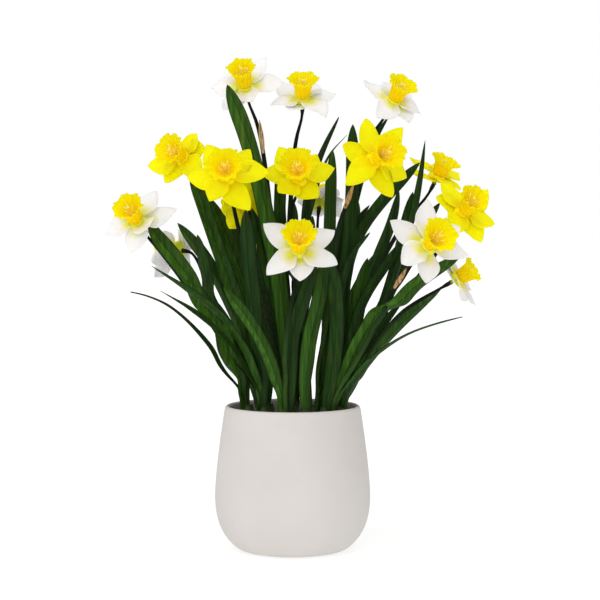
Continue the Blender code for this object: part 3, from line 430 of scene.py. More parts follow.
# Petals: body, veins, root, the share of the length that the root's colour reaches, the light
# that passes under the skin, and the tube behind at its far and near end.
PETALS = {
    WHITE: ((246, 246, 249), (226, 227, 230), (226, 230, 14), 0.48, (1.0, 0.98, 0.96),
            (214, 220, 50), (236, 236, 70)),
    YELLOW: ((255, 246, 0), (236, 222, 0), (255, 220, 0), 0.34, (1.0, 0.95, 0.1),
             (206, 206, 10), (250, 236, 0)),
}
TRUMPET_OUTSIDE = ((0.0, (240, 204, 0)), (0.35, (255, 206, 0)), (0.7, (255, 198, 0)),
                   (0.86, (255, 212, 0)), (1.0, (255, 228, 0)))
# Inside of the trumpet: painted light, paler deep in the throat than outside, against the throat's
# shade.
TRUMPET_INSIDE_AND_PAINTED_LIGHT = ((0.3, (255, 226, 30)), (0.6, (255, 214, 8)), (0.85, (255, 206, 0)),
                  (1.0, (255, 228, 0)))
TRUMPET_STREAK = (252, 176, 0)
TRUMPET_GLOW = (1.0, 0.8, 0.1)
SPATHE_PALE = ((0.34, (112, 80, 42)), (0.48, (196, 168, 120)), (0.7, (224, 206, 166)))
SPATHE_TAN = ((0.34, (110, 66, 26)), (0.48, (164, 112, 56)), (0.7, (196, 150, 92)))
SPATHE_VEIN = (98, 68, 34)
POT_CLOUDS = ((0.35, (205, 200, 195)), (0.65, (209, 205, 201)))
POT_GRAIN = (186, 179, 173)
# Grainy finishes: dark and light colour, fineness, roughness, strength and depth of the relief.
GRAINY = {
    "anther": ((255, 240, 150), (255, 246, 185), 900.0, 0.7, 0.3, 0.0005),
    "filament": ((255, 230, 95), (255, 240, 140), 300.0, 0.6, 0.3, 0.0005),
    "potting_mix": ((34, 22, 16), (78, 56, 42), 260.0, 0.95, 0.8, 0.001),
    "bark": ((56, 34, 22), (122, 84, 60), 220.0, 0.9, 0.6, 0.0006),
    "clay": ((140, 74, 46), (188, 112, 78), 300.0, 0.9, 0.5, 0.0005),
    "perlite": ((214, 208, 196), (244, 242, 236), 500.0, 0.9, 0.5, 0.0004),
    "floor_white": ((190, 190, 190), (192, 192, 192), 3.0, 0.9, 0.0, 0.0005),
}

# Picture: the width that the camera sees at the pot's axis, in millimetres, and the light.
FRAME_WIDTH = 600.0
SENSOR = 36.0
CLIP_NEAR = 0.01
FLOOR_HALF = 8.0
FLOOR_DROP = 0.0004            # metres, so that the floor stays clear of the pot's underside
FLOOR_GLOW = 0.6
WORLD_LIGHT = 0.66
# Lights: name, the way it comes from, power, and how wide it is in degrees.
LIGHTS = (("key", (-0.35, -1.0, 0.8), 1.28, 80.0), ("top", (0.3, 0.1, 1.0), 0.15, 60.0))


def on_sight_line(across, up, depth):
    """The place at this depth that the front view shows at (across, up)."""
    spread = (SIGHT_DISTANCE + depth) / SIGHT_DISTANCE
    rise = (up - SIGHT_UP) * spread - depth * math.sin(SIGHT_TILT)
    x = SIGHT_ACROSS + (across - SIGHT_ACROSS) * spread
    return Vector((x, depth, SIGHT_UP + rise / math.cos(SIGHT_TILT)))


def rounded(points):
    """Cut a route's corners until it is a smooth curve between the same two ends."""
    for _ in range(CORNER_CUTS):
        cut = [points[0]]
        for start, end in zip(points, points[1:]):
            cut.append(start.lerp(end, 0.25))
            cut.append(start.lerp(end, 0.75))
        cut.append(points[-1])
        points = cut
    return points


def distances(points):
    """How far along its route each point lies."""
    run = [0.0]
    for start, end in zip(points, points[1:]):
        run.append(run[-1] + (end - start).length)
    return run


def at_distance(points, run, distance):
    """The place on a route at a distance from its start."""
    index = 0
    while index < len(points) - 2 and run[index + 1] < distance:
        index += 1
    span = run[index + 1] - run[index]
    return points[index].lerp(points[index + 1], (distance - run[index]) / span)


def spaced(points, count):
    """The same route, as evenly spaced points."""
    run = distances(points)
    return [at_distance(points, run, run[-1] * step / (count - 1)) for step in range(count)]


def foot_of(shoot, towards):
    """Where a leaf or stalk starts in its shoot's neck, on the side that it leans to."""
    x, y = SHOOTS[shoot]
    lean = Vector((towards.x - x, towards.y - y, 0.0)).normalized()
    return Vector((x, y, SOIL_CROWN + GAP * 10)) + lean * ROOT_SPREAD


def climb(foot, tip_depth, marks, top):
    """The places that a strand passes: its depth changes steadily with height."""
    places = [foot, foot + Vector((0.0, 0.0, ROOT_RISE))]
    for across, up in marks:
        share = max(0.0, min(1.0, (up - foot.z) / (top - foot.z)))
        depth = foot.y + (tip_depth - foot.y) * share ** DEPTH_CURVE
        places.append(on_sight_line(across, up, depth))
    return places


class Bloom:
    """One flower: its place, the way it faces, and the small differences of its own."""

    def __init__(self, row):
        self.name, self.colour, (self.across, self.up), self.depth, axis, *rest = row
        length, self.front, self.mouth, self.shoot, self.marks, tips = rest
        self.axis = Vector(axis).normalized()
        self.top = (Vector((0.0, 0.0, 1.0)) - self.axis * self.axis.z).normalized()
        self.side = self.axis.cross(self.top)
        self.tips = [self.tip(aim, length) for aim in tips]
        own = random.Random(self.name)
        self.curl = [own.uniform(-0.14, 0.14) for _ in range(6)]
        self.frill = [own.uniform(0.5, 1.5) for _ in range(CORONA_SIDES)]

    def tip(self, aim, length):
        """Angle, radius and lift of the tepal that points this way in the front view: it lies in
        the bloom's plane unless that would make it too short or too long."""
        centre = self.centre()
        level = on_sight_line(self.across + aim[0], self.up + aim[1], self.depth)
        behind = on_sight_line(self.across + aim[0], self.up + aim[1], self.depth + 10.0)
        sight = (behind - level).normalized()
        start = level - centre
        flat = start - sight * (start.dot(self.axis) / sight.dot(self.axis))
        wanted = max(length * TEPAL_LEAST, min(length * TEPAL_MOST, flat.length))
        nearest = start - sight * start.dot(sight)
        run = math.sqrt(max(0.0, wanted ** 2 - nearest.length_squared))
        ends = [nearest + sight * run, nearest - sight * run]
        end = min(ends, key=lambda place: abs(place.dot(self.axis)))
        angle = math.atan2(end.dot(self.side), end.dot(self.top))
        lift = end.dot(self.axis)
        return angle, math.sqrt(end.length_squared - lift ** 2), lift

    def centre(self):
        """The middle of the bloom's plane."""
        return on_sight_line(self.across, self.up, self.depth)

    def radial(self, angle):
        """The direction at an angle about the axis, from the top."""
        return self.top * math.cos(angle) + self.side * math.sin(angle)

    def point(self, angle, radius, along):
        """A place in the bloom's own round frame."""
        return self.centre() + self.radial(angle) * radius + self.axis * along

    def tepal_angle(self, index, share):
        """Which way a tepal's middle lies: it curls a little on its way to the tip."""
        return self.tips[index][0] + self.curl[index] * (1.0 - share) ** 2

    def tepal_radius(self, index, share):
        """How far from the axis a tepal's middle lies, from its root to its tip."""
        return TEPAL_ROOT + (self.tips[index][1] - TEPAL_ROOT) * share

    def tepal_lift(self, index, share):
        """How far in front of the bloom's plane a tepal lies: every other one is an inner one."""
        layer = TEPAL_STEP if index % 2 == 0 else -TEPAL_STEP
        return layer * (1.0 - share ** 3) + self.tips[index][2] * share ** 2

    def pedicel(self):
        """The end of the stalk: the front of the ovary and the bend behind it."""
        end = self.centre() + self.axis * (TUBE_BACK - GAP)
        return end, end - self.axis * BEND_BACK

    def beads(self):
        """Balls that fill the bloom: place and radius of each."""
        balls = []
        for index in range(6):
            for share, aside in TEPAL_BEADS:
                angle = self.tepal_angle(index, share) + aside
                radius = self.tepal_radius(index, share)
                balls.append((self.point(angle, radius, self.tepal_lift(index, share)),
                              TEPAL_BEAD))
            angle, radius, lift = self.tips[index]
            balls.append((self.point(angle, radius - 2, lift), LEAF_BEAD))
        for share, ring in ((0.25, 5), (0.55, 7), (0.85, self.mouth - 4)):
            for step in range(8):
                angle = math.radians(45 * step)
                balls.append((self.point(angle, ring, self.front * share), TEPAL_BEAD))
        for along in (TUBE_BACK / 2, TUBE_BACK):
            balls.append((self.point(0.0, 0.0, along), TEPAL_BEAD))
        return balls


class Strand:
    """A leaf or a stalk: its route from the neck of its shoot to its tip or its flower."""

    def __init__(self, shoot, route, width=0.0, turn=0.0, bloom=None):
        self.shoot = shoot
        self.route = spaced(rounded(route), STATIONS)
        self.length = distances(self.route)[-1]
        self.width = width
        self.turn = math.radians(turn)
        self.bloom = bloom

    def direction(self, station):
        """Which way the strand runs at a station."""
        low = max(station - 1, 0)
        high = min(station + 1, len(self.route) - 1)
        return (self.route[high] - self.route[low]).normalized()

    def across(self, along):
        """Which way the blade is broad, square to its own direction."""
        level = Vector((math.cos(self.turn), math.sin(self.turn), 0.0))
        return (level - along * level.dot(along)).normalized()

    def half(self, share):
        """Half of a leaf's width, at a share of its length from the foot."""
        swell = min(1.0, LEAF_SWELL + LEAF_SWELL_RATE * share)
        if self.width < BLUNT_FROM:
            taper = min(1.0, (1.0 - share) / LEAF_TAPER) ** LEAF_TAPER_CURVE
        else:
            back = min(1.0, (1.0 - share) * self.length / BLUNT_LENGTH)
            taper = (1.0 - (1.0 - back) ** 2) ** BLUNT_ARCH
        return self.width / 2 * swell * taper

    def stalk_line(self):
        """The places that a stalk's bar goes through, from the flower down, and its radii."""
        run = distances(self.route)
        rest = run[-1] - STALK_STEPS[-1][0]
        count = round(rest / STALK_SPACING)
        lower = [STALK_STEPS[-1][0] + rest * k / count for k in range(1, count + 1)]
        steps = [*STALK_STEPS, *((back, STALK_RADIUS) for back in lower)]
        places = [at_distance(self.route, run, run[-1] - back) for back, _ in steps]
        return places, [radius for _, radius in steps]

    def spathe_line(self):
        """The dry spathe of a stalk: its foot, its tip and the side of the stalk that it is on."""
        foot_up, tip_up, side = SPATHES[self.bloom.name]
        places, radii = self.stalk_line()
        low = next(k for k, place in enumerate(places) if place.z <= foot_up)
        rise = (places[low - 1] - places[low]).normalized()
        start = places[low] + rise * (foot_up - places[low].z) / rise.z
        away = Vector((math.cos(math.radians(side)), -math.sin(math.radians(side)), 0.0))
        away = (away - rise * away.dot(rise)).normalized()
        foot = start + away * (radii[low] + GAP + SPATHE_THICK / 2)
        return foot, foot + (rise + away * SPATHE_LEAN) * (tip_up - foot_up) / rise.z, away

    def beads(self):
        """Balls along the strand and its spathe: place, radius and station of each."""
        balls = []
        for station, place in enumerate(self.route):
            if self.bloom:
                balls.append((place, STALK_BEAD, station))
                continue
            aside = self.half(station / (STATIONS - 1)) - LEAF_BEAD / 2
            across = self.across(self.direction(station))
            balls.append((place, LEAF_BEAD, station))
            if aside > 1.0:
                balls.append((place + across * aside, LEAF_BEAD, station))
                balls.append((place - across * aside, LEAF_BEAD, station))
        if self.bloom and self.bloom.name in SPATHES:
            foot, tip, _ = self.spathe_line()
            low = next(k for k, place in enumerate(self.route) if place.z >= foot.z)
            for step in range(5):
                balls.append((foot.lerp(tip, step / 4), SPATHE_BEAD, low + step))
        return balls


def may_touch(first, second, place):
    """Whether two things are one plant part there, so that they needn't be pushed apart."""
    if first is second:
        return True
    if isinstance(first, Strand) and isinstance(second, Strand):
        return first.shoot == second.shoot and place.z < SOIL_CROWN + FREE_RISE
    return second is getattr(first, "bloom", None) or first is getattr(second, "bloom", None)


def all_beads(blooms, strands):
    """Every bead, as place, radius, owner and station."""
    beads = [(*ball, bloom, 0) for bloom in blooms for ball in bloom.beads()]
    return beads + [(place, radius, strand, station)
                    for strand in strands for place, radius, station in strand.beads()]


def pushes_between(beads):
    """How far each owner's stations are pushed by the beads that come too close."""
    tree = KDTree(len(beads))
    for number, bead in enumerate(beads):
        tree.insert(bead[0], number)
    tree.balance()
    pushes = {}
    for number, (place, radius, owner, station) in enumerate(beads):
        for other_place, other_number, distance in tree.find_range(place, radius + TEPAL_BEAD):
            if other_number <= number:
                continue
            _, other_radius, other, other_station = beads[other_number]
            need = radius + other_radius - distance
            if need <= 0.0 or may_touch(owner, other, place):
                continue
            away = Vector(((place.x - other_place.x) * SIDE_SHARE, place.y - other_place.y, 0.0))
            if away.length < 0.01:
                away = Vector((0.0, 1.0, 0.0))
            away = away.normalized() * need * 0.5
            pushes.setdefault(owner, {}).setdefault(station, []).append(away)
            pushes.setdefault(other, {}).setdefault(other_station, []).append(-away)
    return pushes


def strongest(vectors):
    """The longest push each way, added up."""
    none = Vector((0.0, 0.0, 0.0))
    forward = max((v for v in vectors if v.y >= 0), key=lambda v: v.length, default=none)
    backward = max((v for v in vectors if v.y < 0), key=lambda v: v.length, default=none)
    return forward + backward


def bend_strand(strand, found):
    """Move a strand's stations by their pushes, smoothed, with its ends held."""
    shift = [Vector((0.0, 0.0, 0.0)) for _ in strand.route]
    for station, vectors in found.items():
        shift[station] = strongest(vectors)
    last = len(shift) - 1
    for _ in range(PUSH_PASSES):
        previous = shift
        shift = [
            previous[max(k - 1, 0)] * 0.3 + previous[k] * 0.4 + previous[min(k + 1, last)] * 0.3
            for k in range(last + 1)
        ]
    for station, place in enumerate(strand.route):
        hold = min(1.0, max(0.0, (place.z - SOIL_CROWN - FOOT_HELD) / FOOT_EASE))
        if strand.bloom:
            hold *= min(1.0, max(0.0, (last - station - END_HELD) / END_EASE))
        strand.route[station] = place + shift[station] * hold * PUSH_GAIN


def move_bloom(bloom, stalk, found):
    """Move a bloom in depth along its sight line, and let its stalk follow."""
    push = strongest([vector for vectors in found.values() for vector in vectors])
    before = bloom.centre()
    bloom.depth += push.y * BLOOM_GAIN
    step = bloom.centre() - before
    last = len(stalk.route) - 1
    for station in range(last + 1):
        share = min(1.0, station / (last - END_HELD))
        stalk.route[station] += step * share ** 1.5


def bend_clear(blooms, strands):
    """Bend leaves and stalks, and set blooms forward or back, for a set number of rounds of
    pushes.
    """
    stalks = {strand.bloom: strand for strand in strands if strand.bloom}
    for _ in range(ROUNDS):
        pushes = pushes_between(all_beads(blooms, strands))
        for strand in strands:
            if strand in pushes:
                bend_strand(strand, pushes[strand])
        for bloom in blooms:
            if bloom in pushes:
                move_bloom(bloom, stalks[bloom], pushes[bloom])


def grow():
    """Every bloom and every strand of the plant, clear of one another."""
    blooms = [Bloom(row) for row in BLOOMS]
    strands = []
    for bloom in blooms:
        end, bend = bloom.pedicel()
        foot = foot_of(bloom.shoot, end)
        route = climb(foot, bend.y, bloom.marks, bloom.marks[-1][1]) + [bend, end]
        strands.append(Strand(bloom.shoot, route, bloom=bloom))
    for shoot, rows in LEAVES.items():
        for width, turn, tip_depth, marks in rows:
            tip = on_sight_line(*marks[-1], tip_depth)
            route = climb(foot_of(shoot, tip), tip_depth, marks, marks[-1][1])
            strands.append(Strand(shoot, route, width, turn))
    bend_clear(blooms, strands)
    return blooms, strands


def pot_inside():
    """The pot's inner face, from the lip down to the floor: radius and height."""
    wall = [(radius - POT_WALL, height) for radius, height in POT_OUTSIDE[3:-1:2]]
    return wall[::-1] + [(POT_FLOOR_RADIUS, POT_FLOOR)]


def soil_wall(inside):
    """The soil's side, up from the pot's floor: clear of the pot all the way."""
    side = [(radius - 2 * GAP, height + 2 * GAP) for radius, height in reversed(inside)]
    below = [point for point in side if point[1] < SOIL_LEVEL]
    above = next(point for point in side if point[1] >= SOIL_LEVEL)
    share = (SOIL_LEVEL - below[-1][1]) / (above[1] - below[-1][1])
    edge = below[-1][0] + (above[0] - below[-1][0]) * share
    return below + [(edge, SOIL_LEVEL)]


class Skin:
    """A growing mesh: corners, faces, a material for each face and values for each corner."""

    def __init__(self):
        self.corners = []
        self.faces = []
        self.slots = []
        self.values = {name: [] for name in CORNER_VALUES}
        self.count = 0

    def add_grid(self, grid, slot=0, **values):
        """A closed skin: rows of corners that each go round, with a cap on both ends."""
        rows, columns = grid.shape[:2]
        start = self.count
        self.corners.append(grid.reshape(-1, 3))
        self.corners.append(np.array([grid[0].mean(axis=0), grid[-1].mean(axis=0)]))
        for name, stored in self.values.items():
            given = np.asarray(values.get(name, 0.0), dtype=float)
            given = np.broadcast_to(given, (rows, columns))
            stored.append(given.reshape(-1))
            stored.append(np.array([given[0].mean(), given[-1].mean()]))
        first_cap = start + rows * columns
        self.count = first_cap + 2
        for row in range(rows - 1):
            low = start + row * columns
            high = low + columns
            for column in range(columns):
                after = (column + 1) % columns
                self.faces.append((low + column, low + after, high + after, high + column))
        last = first_cap - columns
        for column in range(columns):
            after = (column + 1) % columns
            self.faces.append((first_cap, start + after, start + column))
            self.faces.append((first_cap + 1, last + column, last + after))
        self.slots += [slot] * (len(self.faces) - len(self.slots))

    def add_blade(self, places, across, facing, sideways, lift, **values):
        """A thin skin: each row's place, set aside and lifted by its own distances."""
        across = np.atleast_2d(across)[:, None, :] * sideways[:, :, None]
        facing = np.atleast_2d(facing)[:, None, :] * lift[:, :, None]
        self.add_grid(places[:, None, :] + across + facing, 0, **values)

    def add_lump(self, corners, faces, slot, tone):
        """A small closed body, such as a chip of bark."""
        self.corners.append(np.asarray(corners))
        self.faces += [tuple(self.count + corner for corner in face) for face in faces]
        for name, stored in self.values.items():
            stored.append(np.full(len(corners), tone if name == "tone" else 0.0))
        self.count += len(corners)
        self.slots += [slot] * len(faces)


def add_object(name, data):
    """A new object in the scene."""
    made = bpy.data.objects.new(name, data)
    bpy.context.scene.collection.objects.link(made)
    return made


def make_piece(name, skin, materials, node):
    """A shown piece from a skin: it stands for a CAD node and rides on the plant's one body."""
    mesh = bpy.data.meshes.new(name)
    corners = np.concatenate(skin.corners) * MM
    mesh.from_pydata(corners.tolist(), [], skin.faces)
    for value_name, stored in skin.values.items():
        attribute = mesh.attributes.new(value_name, "FLOAT", "POINT")
        attribute.data.foreach_set("value", np.concatenate(stored).astype(np.float32))
    for material in materials:
        mesh.materials.append(material)
    mesh.polygons.foreach_set("material_index", np.array(skin.slots, dtype=np.int32))
    work = bmesh.new()
    work.from_mesh(mesh)
    bmesh.ops.recalc_face_normals(work, faces=work.faces)
    work.to_mesh(mesh)
    work.free()
    mesh.shade_smooth()
    piece = add_object(name, mesh)
    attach(piece, "root")
    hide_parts(node)


def through(table, shares):
    """A smooth curve through (share, value) points, read at the given shares."""
    known = np.array([share for share, _ in table])
    heights = np.array([value for _, value in table])
    slopes = np.gradient(heights, known)
    index = np.clip(np.searchsorted(known, shares, side="right") - 1, 0, len(known) - 2)
    span = known[index + 1] - known[index]
    t = (shares - known[index]) / span
    rise = heights[index + 1] - heights[index]
    bend = slopes[index] * span * t * (1 - t) ** 2 - slopes[index + 1] * span * t ** 2 * (1 - t)
    return heights[index] + rise * (3 * t ** 2 - 2 * t ** 3) + bend


def rows_of(vectors):
    """Vectors as the rows of an array."""
    return np.array([tuple(vector) for vector in vectors])


def unit(vectors):
    """The same directions, one long."""
    return vectors / np.linalg.norm(vectors, axis=-1, keepdims=True)


def smooth(rows, passes=1, own=0.5):
    """Draw each inner row towards the two beside it."""
    for _ in range(passes):
        rows[1:-1] = rows[1:-1] * own + (rows[:-2] + rows[2:]) * ((1.0 - own) / 2)


def all_round(count):
    """Angles evenly spaced all the way round."""
    return np.linspace(0.0, 2 * math.pi, count, endpoint=False)


def both_faces(columns):
    """Where the corners of a thin section lie: share of the half width, and which face."""
    front = np.linspace(-1.0, 1.0, columns)
    aside = np.concatenate([front, front[::-1]])
    face = np.concatenate([np.ones(columns), -np.ones(columns)])
    return aside, face


def ramped(shares, start):
    """0 up to the start and from there evenly up to 1 at the end."""
    return np.clip((shares - start) / (1.0 - start), 0.0, 1.0)


def round_bar(places, radii, sides):
    """The rows of a round bar through the places."""
    grid = []
    side = np.array([1.0, 0.0, 0.0])
    directions = unit(np.gradient(places, axis=0))
    angles = all_round(sides)
    for place, along, radius in zip(places, directions, radii):
        side = unit(side - along * (side @ along))
        ring = np.outer(np.cos(angles), side) + np.outer(np.sin(angles), np.cross(along, side))
        grid.append(place + ring * radius)
    return np.array(grid)


def fine_route(strand, shares):
    """A strand's route at the given shares of its length, with its directions."""
    run = distances(strand.route)
    places = rows_of(at_distance(strand.route, run, run[-1] * share) for share in shares)
    smooth(places, ROUTE_PASSES)
    return places, unit(np.gradient(places, axis=0))


def add_leaf(skin, leaf, seed):
    """A channelled leaf with fine ridges along it and a slight wave of its edges."""
    own = random.Random(seed)
    shares = np.concatenate([
        np.linspace(0.0, LEAF_DENSE, LEAF_ROWS, endpoint=False),
        1.0 - (1.0 - LEAF_DENSE) * np.linspace(1.0, 0.0, LEAF_TIP_ROWS) ** 2,
    ])
    places, along = fine_route(leaf, shares)
    level = np.array([math.cos(leaf.turn), math.sin(leaf.turn), 0.0])
    across = unit(level - along * (along @ level)[:, None])
    facing = np.cross(along, across)
    middle = LEAF_ROWS // 2
    inward = places[middle] * np.array([-1.0, -1.0, 0.0])
    if facing[middle] @ inward < 0.0:
        facing = -facing
    half = np.maximum([leaf.half(share) for share in shares], LEAF_LEAST)
    aside, face = both_faces(LEAF_COLUMNS)
    spread = np.abs(aside)
    thick = LEAF_MIDDLE - (LEAF_MIDDLE - LEAF_EDGE) * spread ** 0.7
    thick = thick * np.clip(half / LEAF_FULL, LEAF_THINNEST, 1.0)[:, None]
    ridges = LEAF_RIDGE * np.cos(aside * math.pi * LEAF_RIDGES)
    wave = np.sin(shares * own.uniform(*LEAF_WAVE_TURNS) + own.uniform(*PHASES))
    fold = LEAF_FOLD * (LEAF_FOLD_TIP + LEAF_FOLD_MORE * (1.0 - shares))
    rise = (fold * half)[:, None] * spread ** 1.25 + wave[:, None] * aside ** 3 * LEAF_WAVE
    lift = rise + face * (thick / 2 + ridges)
    skin.add_blade(places, across, facing, half[:, None] * aside, lift,
                   along=shares[:, None], aside=aside, tone=own.uniform(0.0, 1.0))


def add_stalk(skin, stalk):
    """Stalk, bent pedicel and swollen ovary."""
    run = distances(stalk.route)
    backs = np.concatenate([
        np.linspace(0.0, STALK_STEPS[-1][0], BEND_ROWS, endpoint=False),
        np.linspace(STALK_STEPS[-1][0], run[-1], STALK_ROWS),
    ])
    radii = through([*STALK_STEPS, (run[-1], STALK_RADIUS)], backs)
    places = rows_of(at_distance(stalk.route, run, run[-1] - back) for back in backs)
    smooth(places)
    grid = round_bar(places, radii, STALK_FINE_SIDES)
    skin.add_grid(grid, 1, along=(backs / run[-1])[:, None])


def add_neck(skin, x, y):
    """The neck of a shoot, with the overlapping rims of its sheaths."""
    heights = np.linspace(SOIL_LEVEL - HOLE_DEPTH + GAP, SOIL_CROWN + NECK_RISE, NECK_ROWS)
    share = np.clip((heights - SOIL_CROWN - NECK_STRAIGHT) / (NECK_RISE - NECK_STRAIGHT), 0.0, 1.0)
    radii = NECK_RADIUS + (NECK_TOP_RADIUS - NECK_RADIUS) * share
    radii = radii * (NECK_INSET + NECK_RIPPLE * np.sin(heights * NECK_RIPPLES))
    places = rows_of((x, y, height) for height in heights)
    skin.add_grid(round_bar(places, radii, NECK_FINE_SIDES), 2, along=share[:, None])


def make_shoot(shoot, strands, materials):
    """One shoot: its leaves, its stalks and the neck that they come from."""
    skin = Skin()
    for number, strand in enumerate(strands):
        if strand.shoot != shoot:
            continue
        if strand.bloom:
            add_stalk(skin, strand)
        else:
            add_leaf(skin, strand, number)
    add_neck(skin, *SHOOTS[shoot])
    make_piece(f"leaves_{shoot}", skin, materials, f"shoot_{shoot}")


def add_tepal(skin, bloom, index):
    """A pointed tepal: cupped, ribbed along its length, with a waved edge and a turned tip."""
    own = random.Random(f"{bloom.name} {index}")
    axis = np.array(bloom.axis)
    shares = np.linspace(0.0, 1.0, TEPAL_ROWS)
    out = rows_of(bloom.radial(bloom.tepal_angle(index, share)) for share in shares)
    radius = bloom.tepal_radius(index, shares)
    half = TEPAL_WIDTH / 2 * through(TEPAL_OUTLINE, shares)
    aside, face = both_faces(TEPAL_COLUMNS)
    spread = np.abs(aside)
    layer = np.array([bloom.tepal_lift(index, share) for share in shares])
    twist = own.uniform(-TEPAL_TWIST, TEPAL_TWIST)
    bow = own.choice((-1.0, 1.0)) * TEPAL_WIDTH * TEPAL_BOW * np.sin(shares * math.pi) ** 2 / 2
    phase = own.uniform(*PHASES)
    edge_wave = np.sin(shares * own.uniform(*TEPAL_WAVE_TURNS) + phase)
    tip_turn = own.uniform(*TEPAL_TIP_TURN) * ramped(shares, TEPAL_TIP_FROM) ** 2
    cup = own.uniform(*TEPAL_CUPS)
    groove = np.exp(-(aside / TEPAL_GROOVE_WIDTH) ** 2)
    lift = (
        layer[:, None] + tip_turn[:, None]
        + cup * TEPAL_CUP * (half / TEPAL_WIDTH * 2)[:, None] * aside ** 2
        + half[:, None] * aside * np.sin(twist * shares)[:, None]
        + TEPAL_WAVE * edge_wave[:, None] * aside ** 3
        - TEPAL_GROOVE * groove * (1.0 - shares)[:, None]
        + TEPAL_RIB * np.cos(aside * math.pi * TEPAL_RIBS) * (1.0 - spread ** 4)
    )
    thick = (TEPAL_MIDDLE - (TEPAL_MIDDLE - TEPAL_EDGE_FINE) * spread ** 0.8) / 2
    lift = lift + face * thick * np.clip(half / TEPAL_FULL, TEPAL_THINNEST, 1.0)[:, None]
    places = np.array(bloom.centre()) + out * radius[:, None]
    sideways = half[:, None] * aside + bow[:, None]
    skin.add_blade(places, np.cross(axis, out), axis, sideways, lift,
                   along=shares[:, None], aside=aside, tone=own.uniform(0.0, 1.0))


def add_flower_tube(skin, bloom):
    """The tube behind the tepals, from the ovary to the face that the trumpet stands on."""
    alongs = np.linspace(TUBE_BACK, HUB_FRONT, TUBE_ROWS)
    profile = (
        (TUBE_BACK, TUBE_RADIUS), (TUBE_BACK / 2, TUBE_RADIUS + TUBE_SWELL),
        (HUB_BACK, HUB_RADIUS * HUB_TRIM[0]), (HUB_FRONT, HUB_RADIUS * HUB_TRIM[1]),
    )
    places = np.array(bloom.centre()) + np.array(bloom.axis) * alongs[:, None]
    share = (alongs - TUBE_BACK) / (HUB_FRONT - TUBE_BACK)
    grid = round_bar(places, through(profile, alongs), TUBE_SIDES)
    skin.add_grid(grid, 1, along=share[:, None])


def make_petals(bloom, materials):
    """The perianth of a bloom: its tepals on their tube."""
    skin = Skin()
    for index in range(6):
        add_tepal(skin, bloom, index)
    add_flower_tube(skin, bloom)
    make_piece(f"petals_{bloom.name}", skin, materials, f"perianth_{bloom.name}")


def add_trumpet(skin, bloom):
    """The trumpet: fluted tube, flared mouth, ruffled and notched rim, and its inner side."""
    own = random.Random(f"{bloom.name} trumpet")
    base = HUB_FRONT + GAP
    angles = all_round(TRUMPET_SIDES)
    phases = [own.uniform(*PHASES) for _ in range(4)]
    corner = angles * CORONA_SIDES / (2 * math.pi)
    size = np.interp(corner, np.arange(CORONA_SIDES + 1), bloom.frill + bloom.frill[:1])
    lobes = -np.cos(angles * CORONA_SIDES / 2) * size
    ruffle = sum(
        np.sin(angles * waves + phase) * high for (waves, high), phase in zip(RUFFLES, phases))
    notches = np.abs(np.sin(angles * NOTCHES + phases[2])) - 0.5
    fine = np.sin(angles * FINE_RIBS + phases[3])
    up = np.linspace(0.0, 1.0, TRUMPET_ROWS)
    down = np.linspace(1.0, THROAT_FLOOR, TRUMPET_ROWS)
    shares = np.concatenate([up, down])
    inside = np.repeat([0.0, 1.0], TRUMPET_ROWS)
    radius = through(TRUMPET_OUTLINE, shares)
    radius = radius + (bloom.mouth - TRUMPET_OUTLINE[-1][1]) * shares ** 3
    flare = ramped(shares, FLARE_FROM)[:, None]
    wall = inside * (CORONA_WALL - TRUMPET_THINNING * shares)
    fluted = np.sin(shares * math.pi) ** 0.7
    ring = (
        (radius - wall)[:, None]
        + flare ** 2 * (CORONA_FRILL * lobes + RUFFLE * ruffle)
        + FLUTE * np.cos(angles * FLUTES) * fluted[:, None]
        + FINE_RIB * fine * (0.4 + 0.6 * flare)
    )
    lift = (
        (base + (bloom.front - base) * shares)[:, None]
        + flare ** 2 * (CORONA_FRILL * FRILL_RISE * lobes
                        + RUFFLE * RUFFLE_RISE * np.roll(ruffle, 5))
        + ramped(shares, NOTCH_FROM)[:, None] * NOTCH * notches
    )
    outward = np.outer(np.cos(angles), bloom.top) + np.outer(np.sin(angles), bloom.side)
    grid = (
        np.array(bloom.centre())
        + outward[None, :, :] * ring[:, :, None]
        + np.array(bloom.axis) * lift[:, :, None]
    )
    skin.add_grid(grid, 0, along=shares[:, None], aside=angles / math.pi, tone=inside[:, None])


def add_rod(skin, bloom, points, radii, slot):
    """A thin round bar in a bloom's own frame: (angle, radius, along) points."""
    places = rows_of(bloom.point(*point) for point in points)
    fine = np.linspace(0.0, 1.0, ROD_ROWS)
    known = np.linspace(0.0, 1.0, len(points))
    curve = np.stack([np.interp(fine, known, places[:, axis]) for axis in range(3)], axis=1)
    smooth(curve)
    sizes = np.interp(fine, known, radii)
    skin.add_grid(round_bar(curve, sizes, ROD_SIDES), slot, along=fine[:, None])


def add_stamens(skin, bloom):
    """Six stamens that lean apart, each with a long anther, and a pistil with a split tip."""
    own = random.Random(f"{bloom.name} stamens")
    base = HUB_FRONT + GAP
    floor = base + (bloom.front - base) * THROAT_FLOOR - STAMEN_SINK
    for index in range(6):
        angle = math.radians(60 * index + 30) + own.uniform(-STAMEN_JITTER, STAMEN_JITTER)
        height = bloom.front * own.uniform(*STAMEN_HEIGHTS)
        lean = own.uniform(*STAMEN_LEANS)
        filament = ((angle, FILAMENT_FOOT, floor), (angle, lean * 0.8, height - 3.5))
        add_rod(skin, bloom, filament, FILAMENT, 2)
        anther = [(angle, lean * share, height - below) for share, below, _ in ANTHER]
        add_rod(skin, bloom, anther, [radius for _, _, radius in ANTHER], 1)
    tall = bloom.front * PISTIL_HEIGHT
    add_rod(skin, bloom, ((0, 0, floor), (0, 0, tall - 2.5)), PISTIL, 2)
    for index in range(3):
        angle = math.radians(120 * index + 20)
        lobe = [(angle, out, tall - below) for out, below, _ in PISTIL_LOBE]
        add_rod(skin, bloom, lobe, [radius for _, _, radius in PISTIL_LOBE], 2)


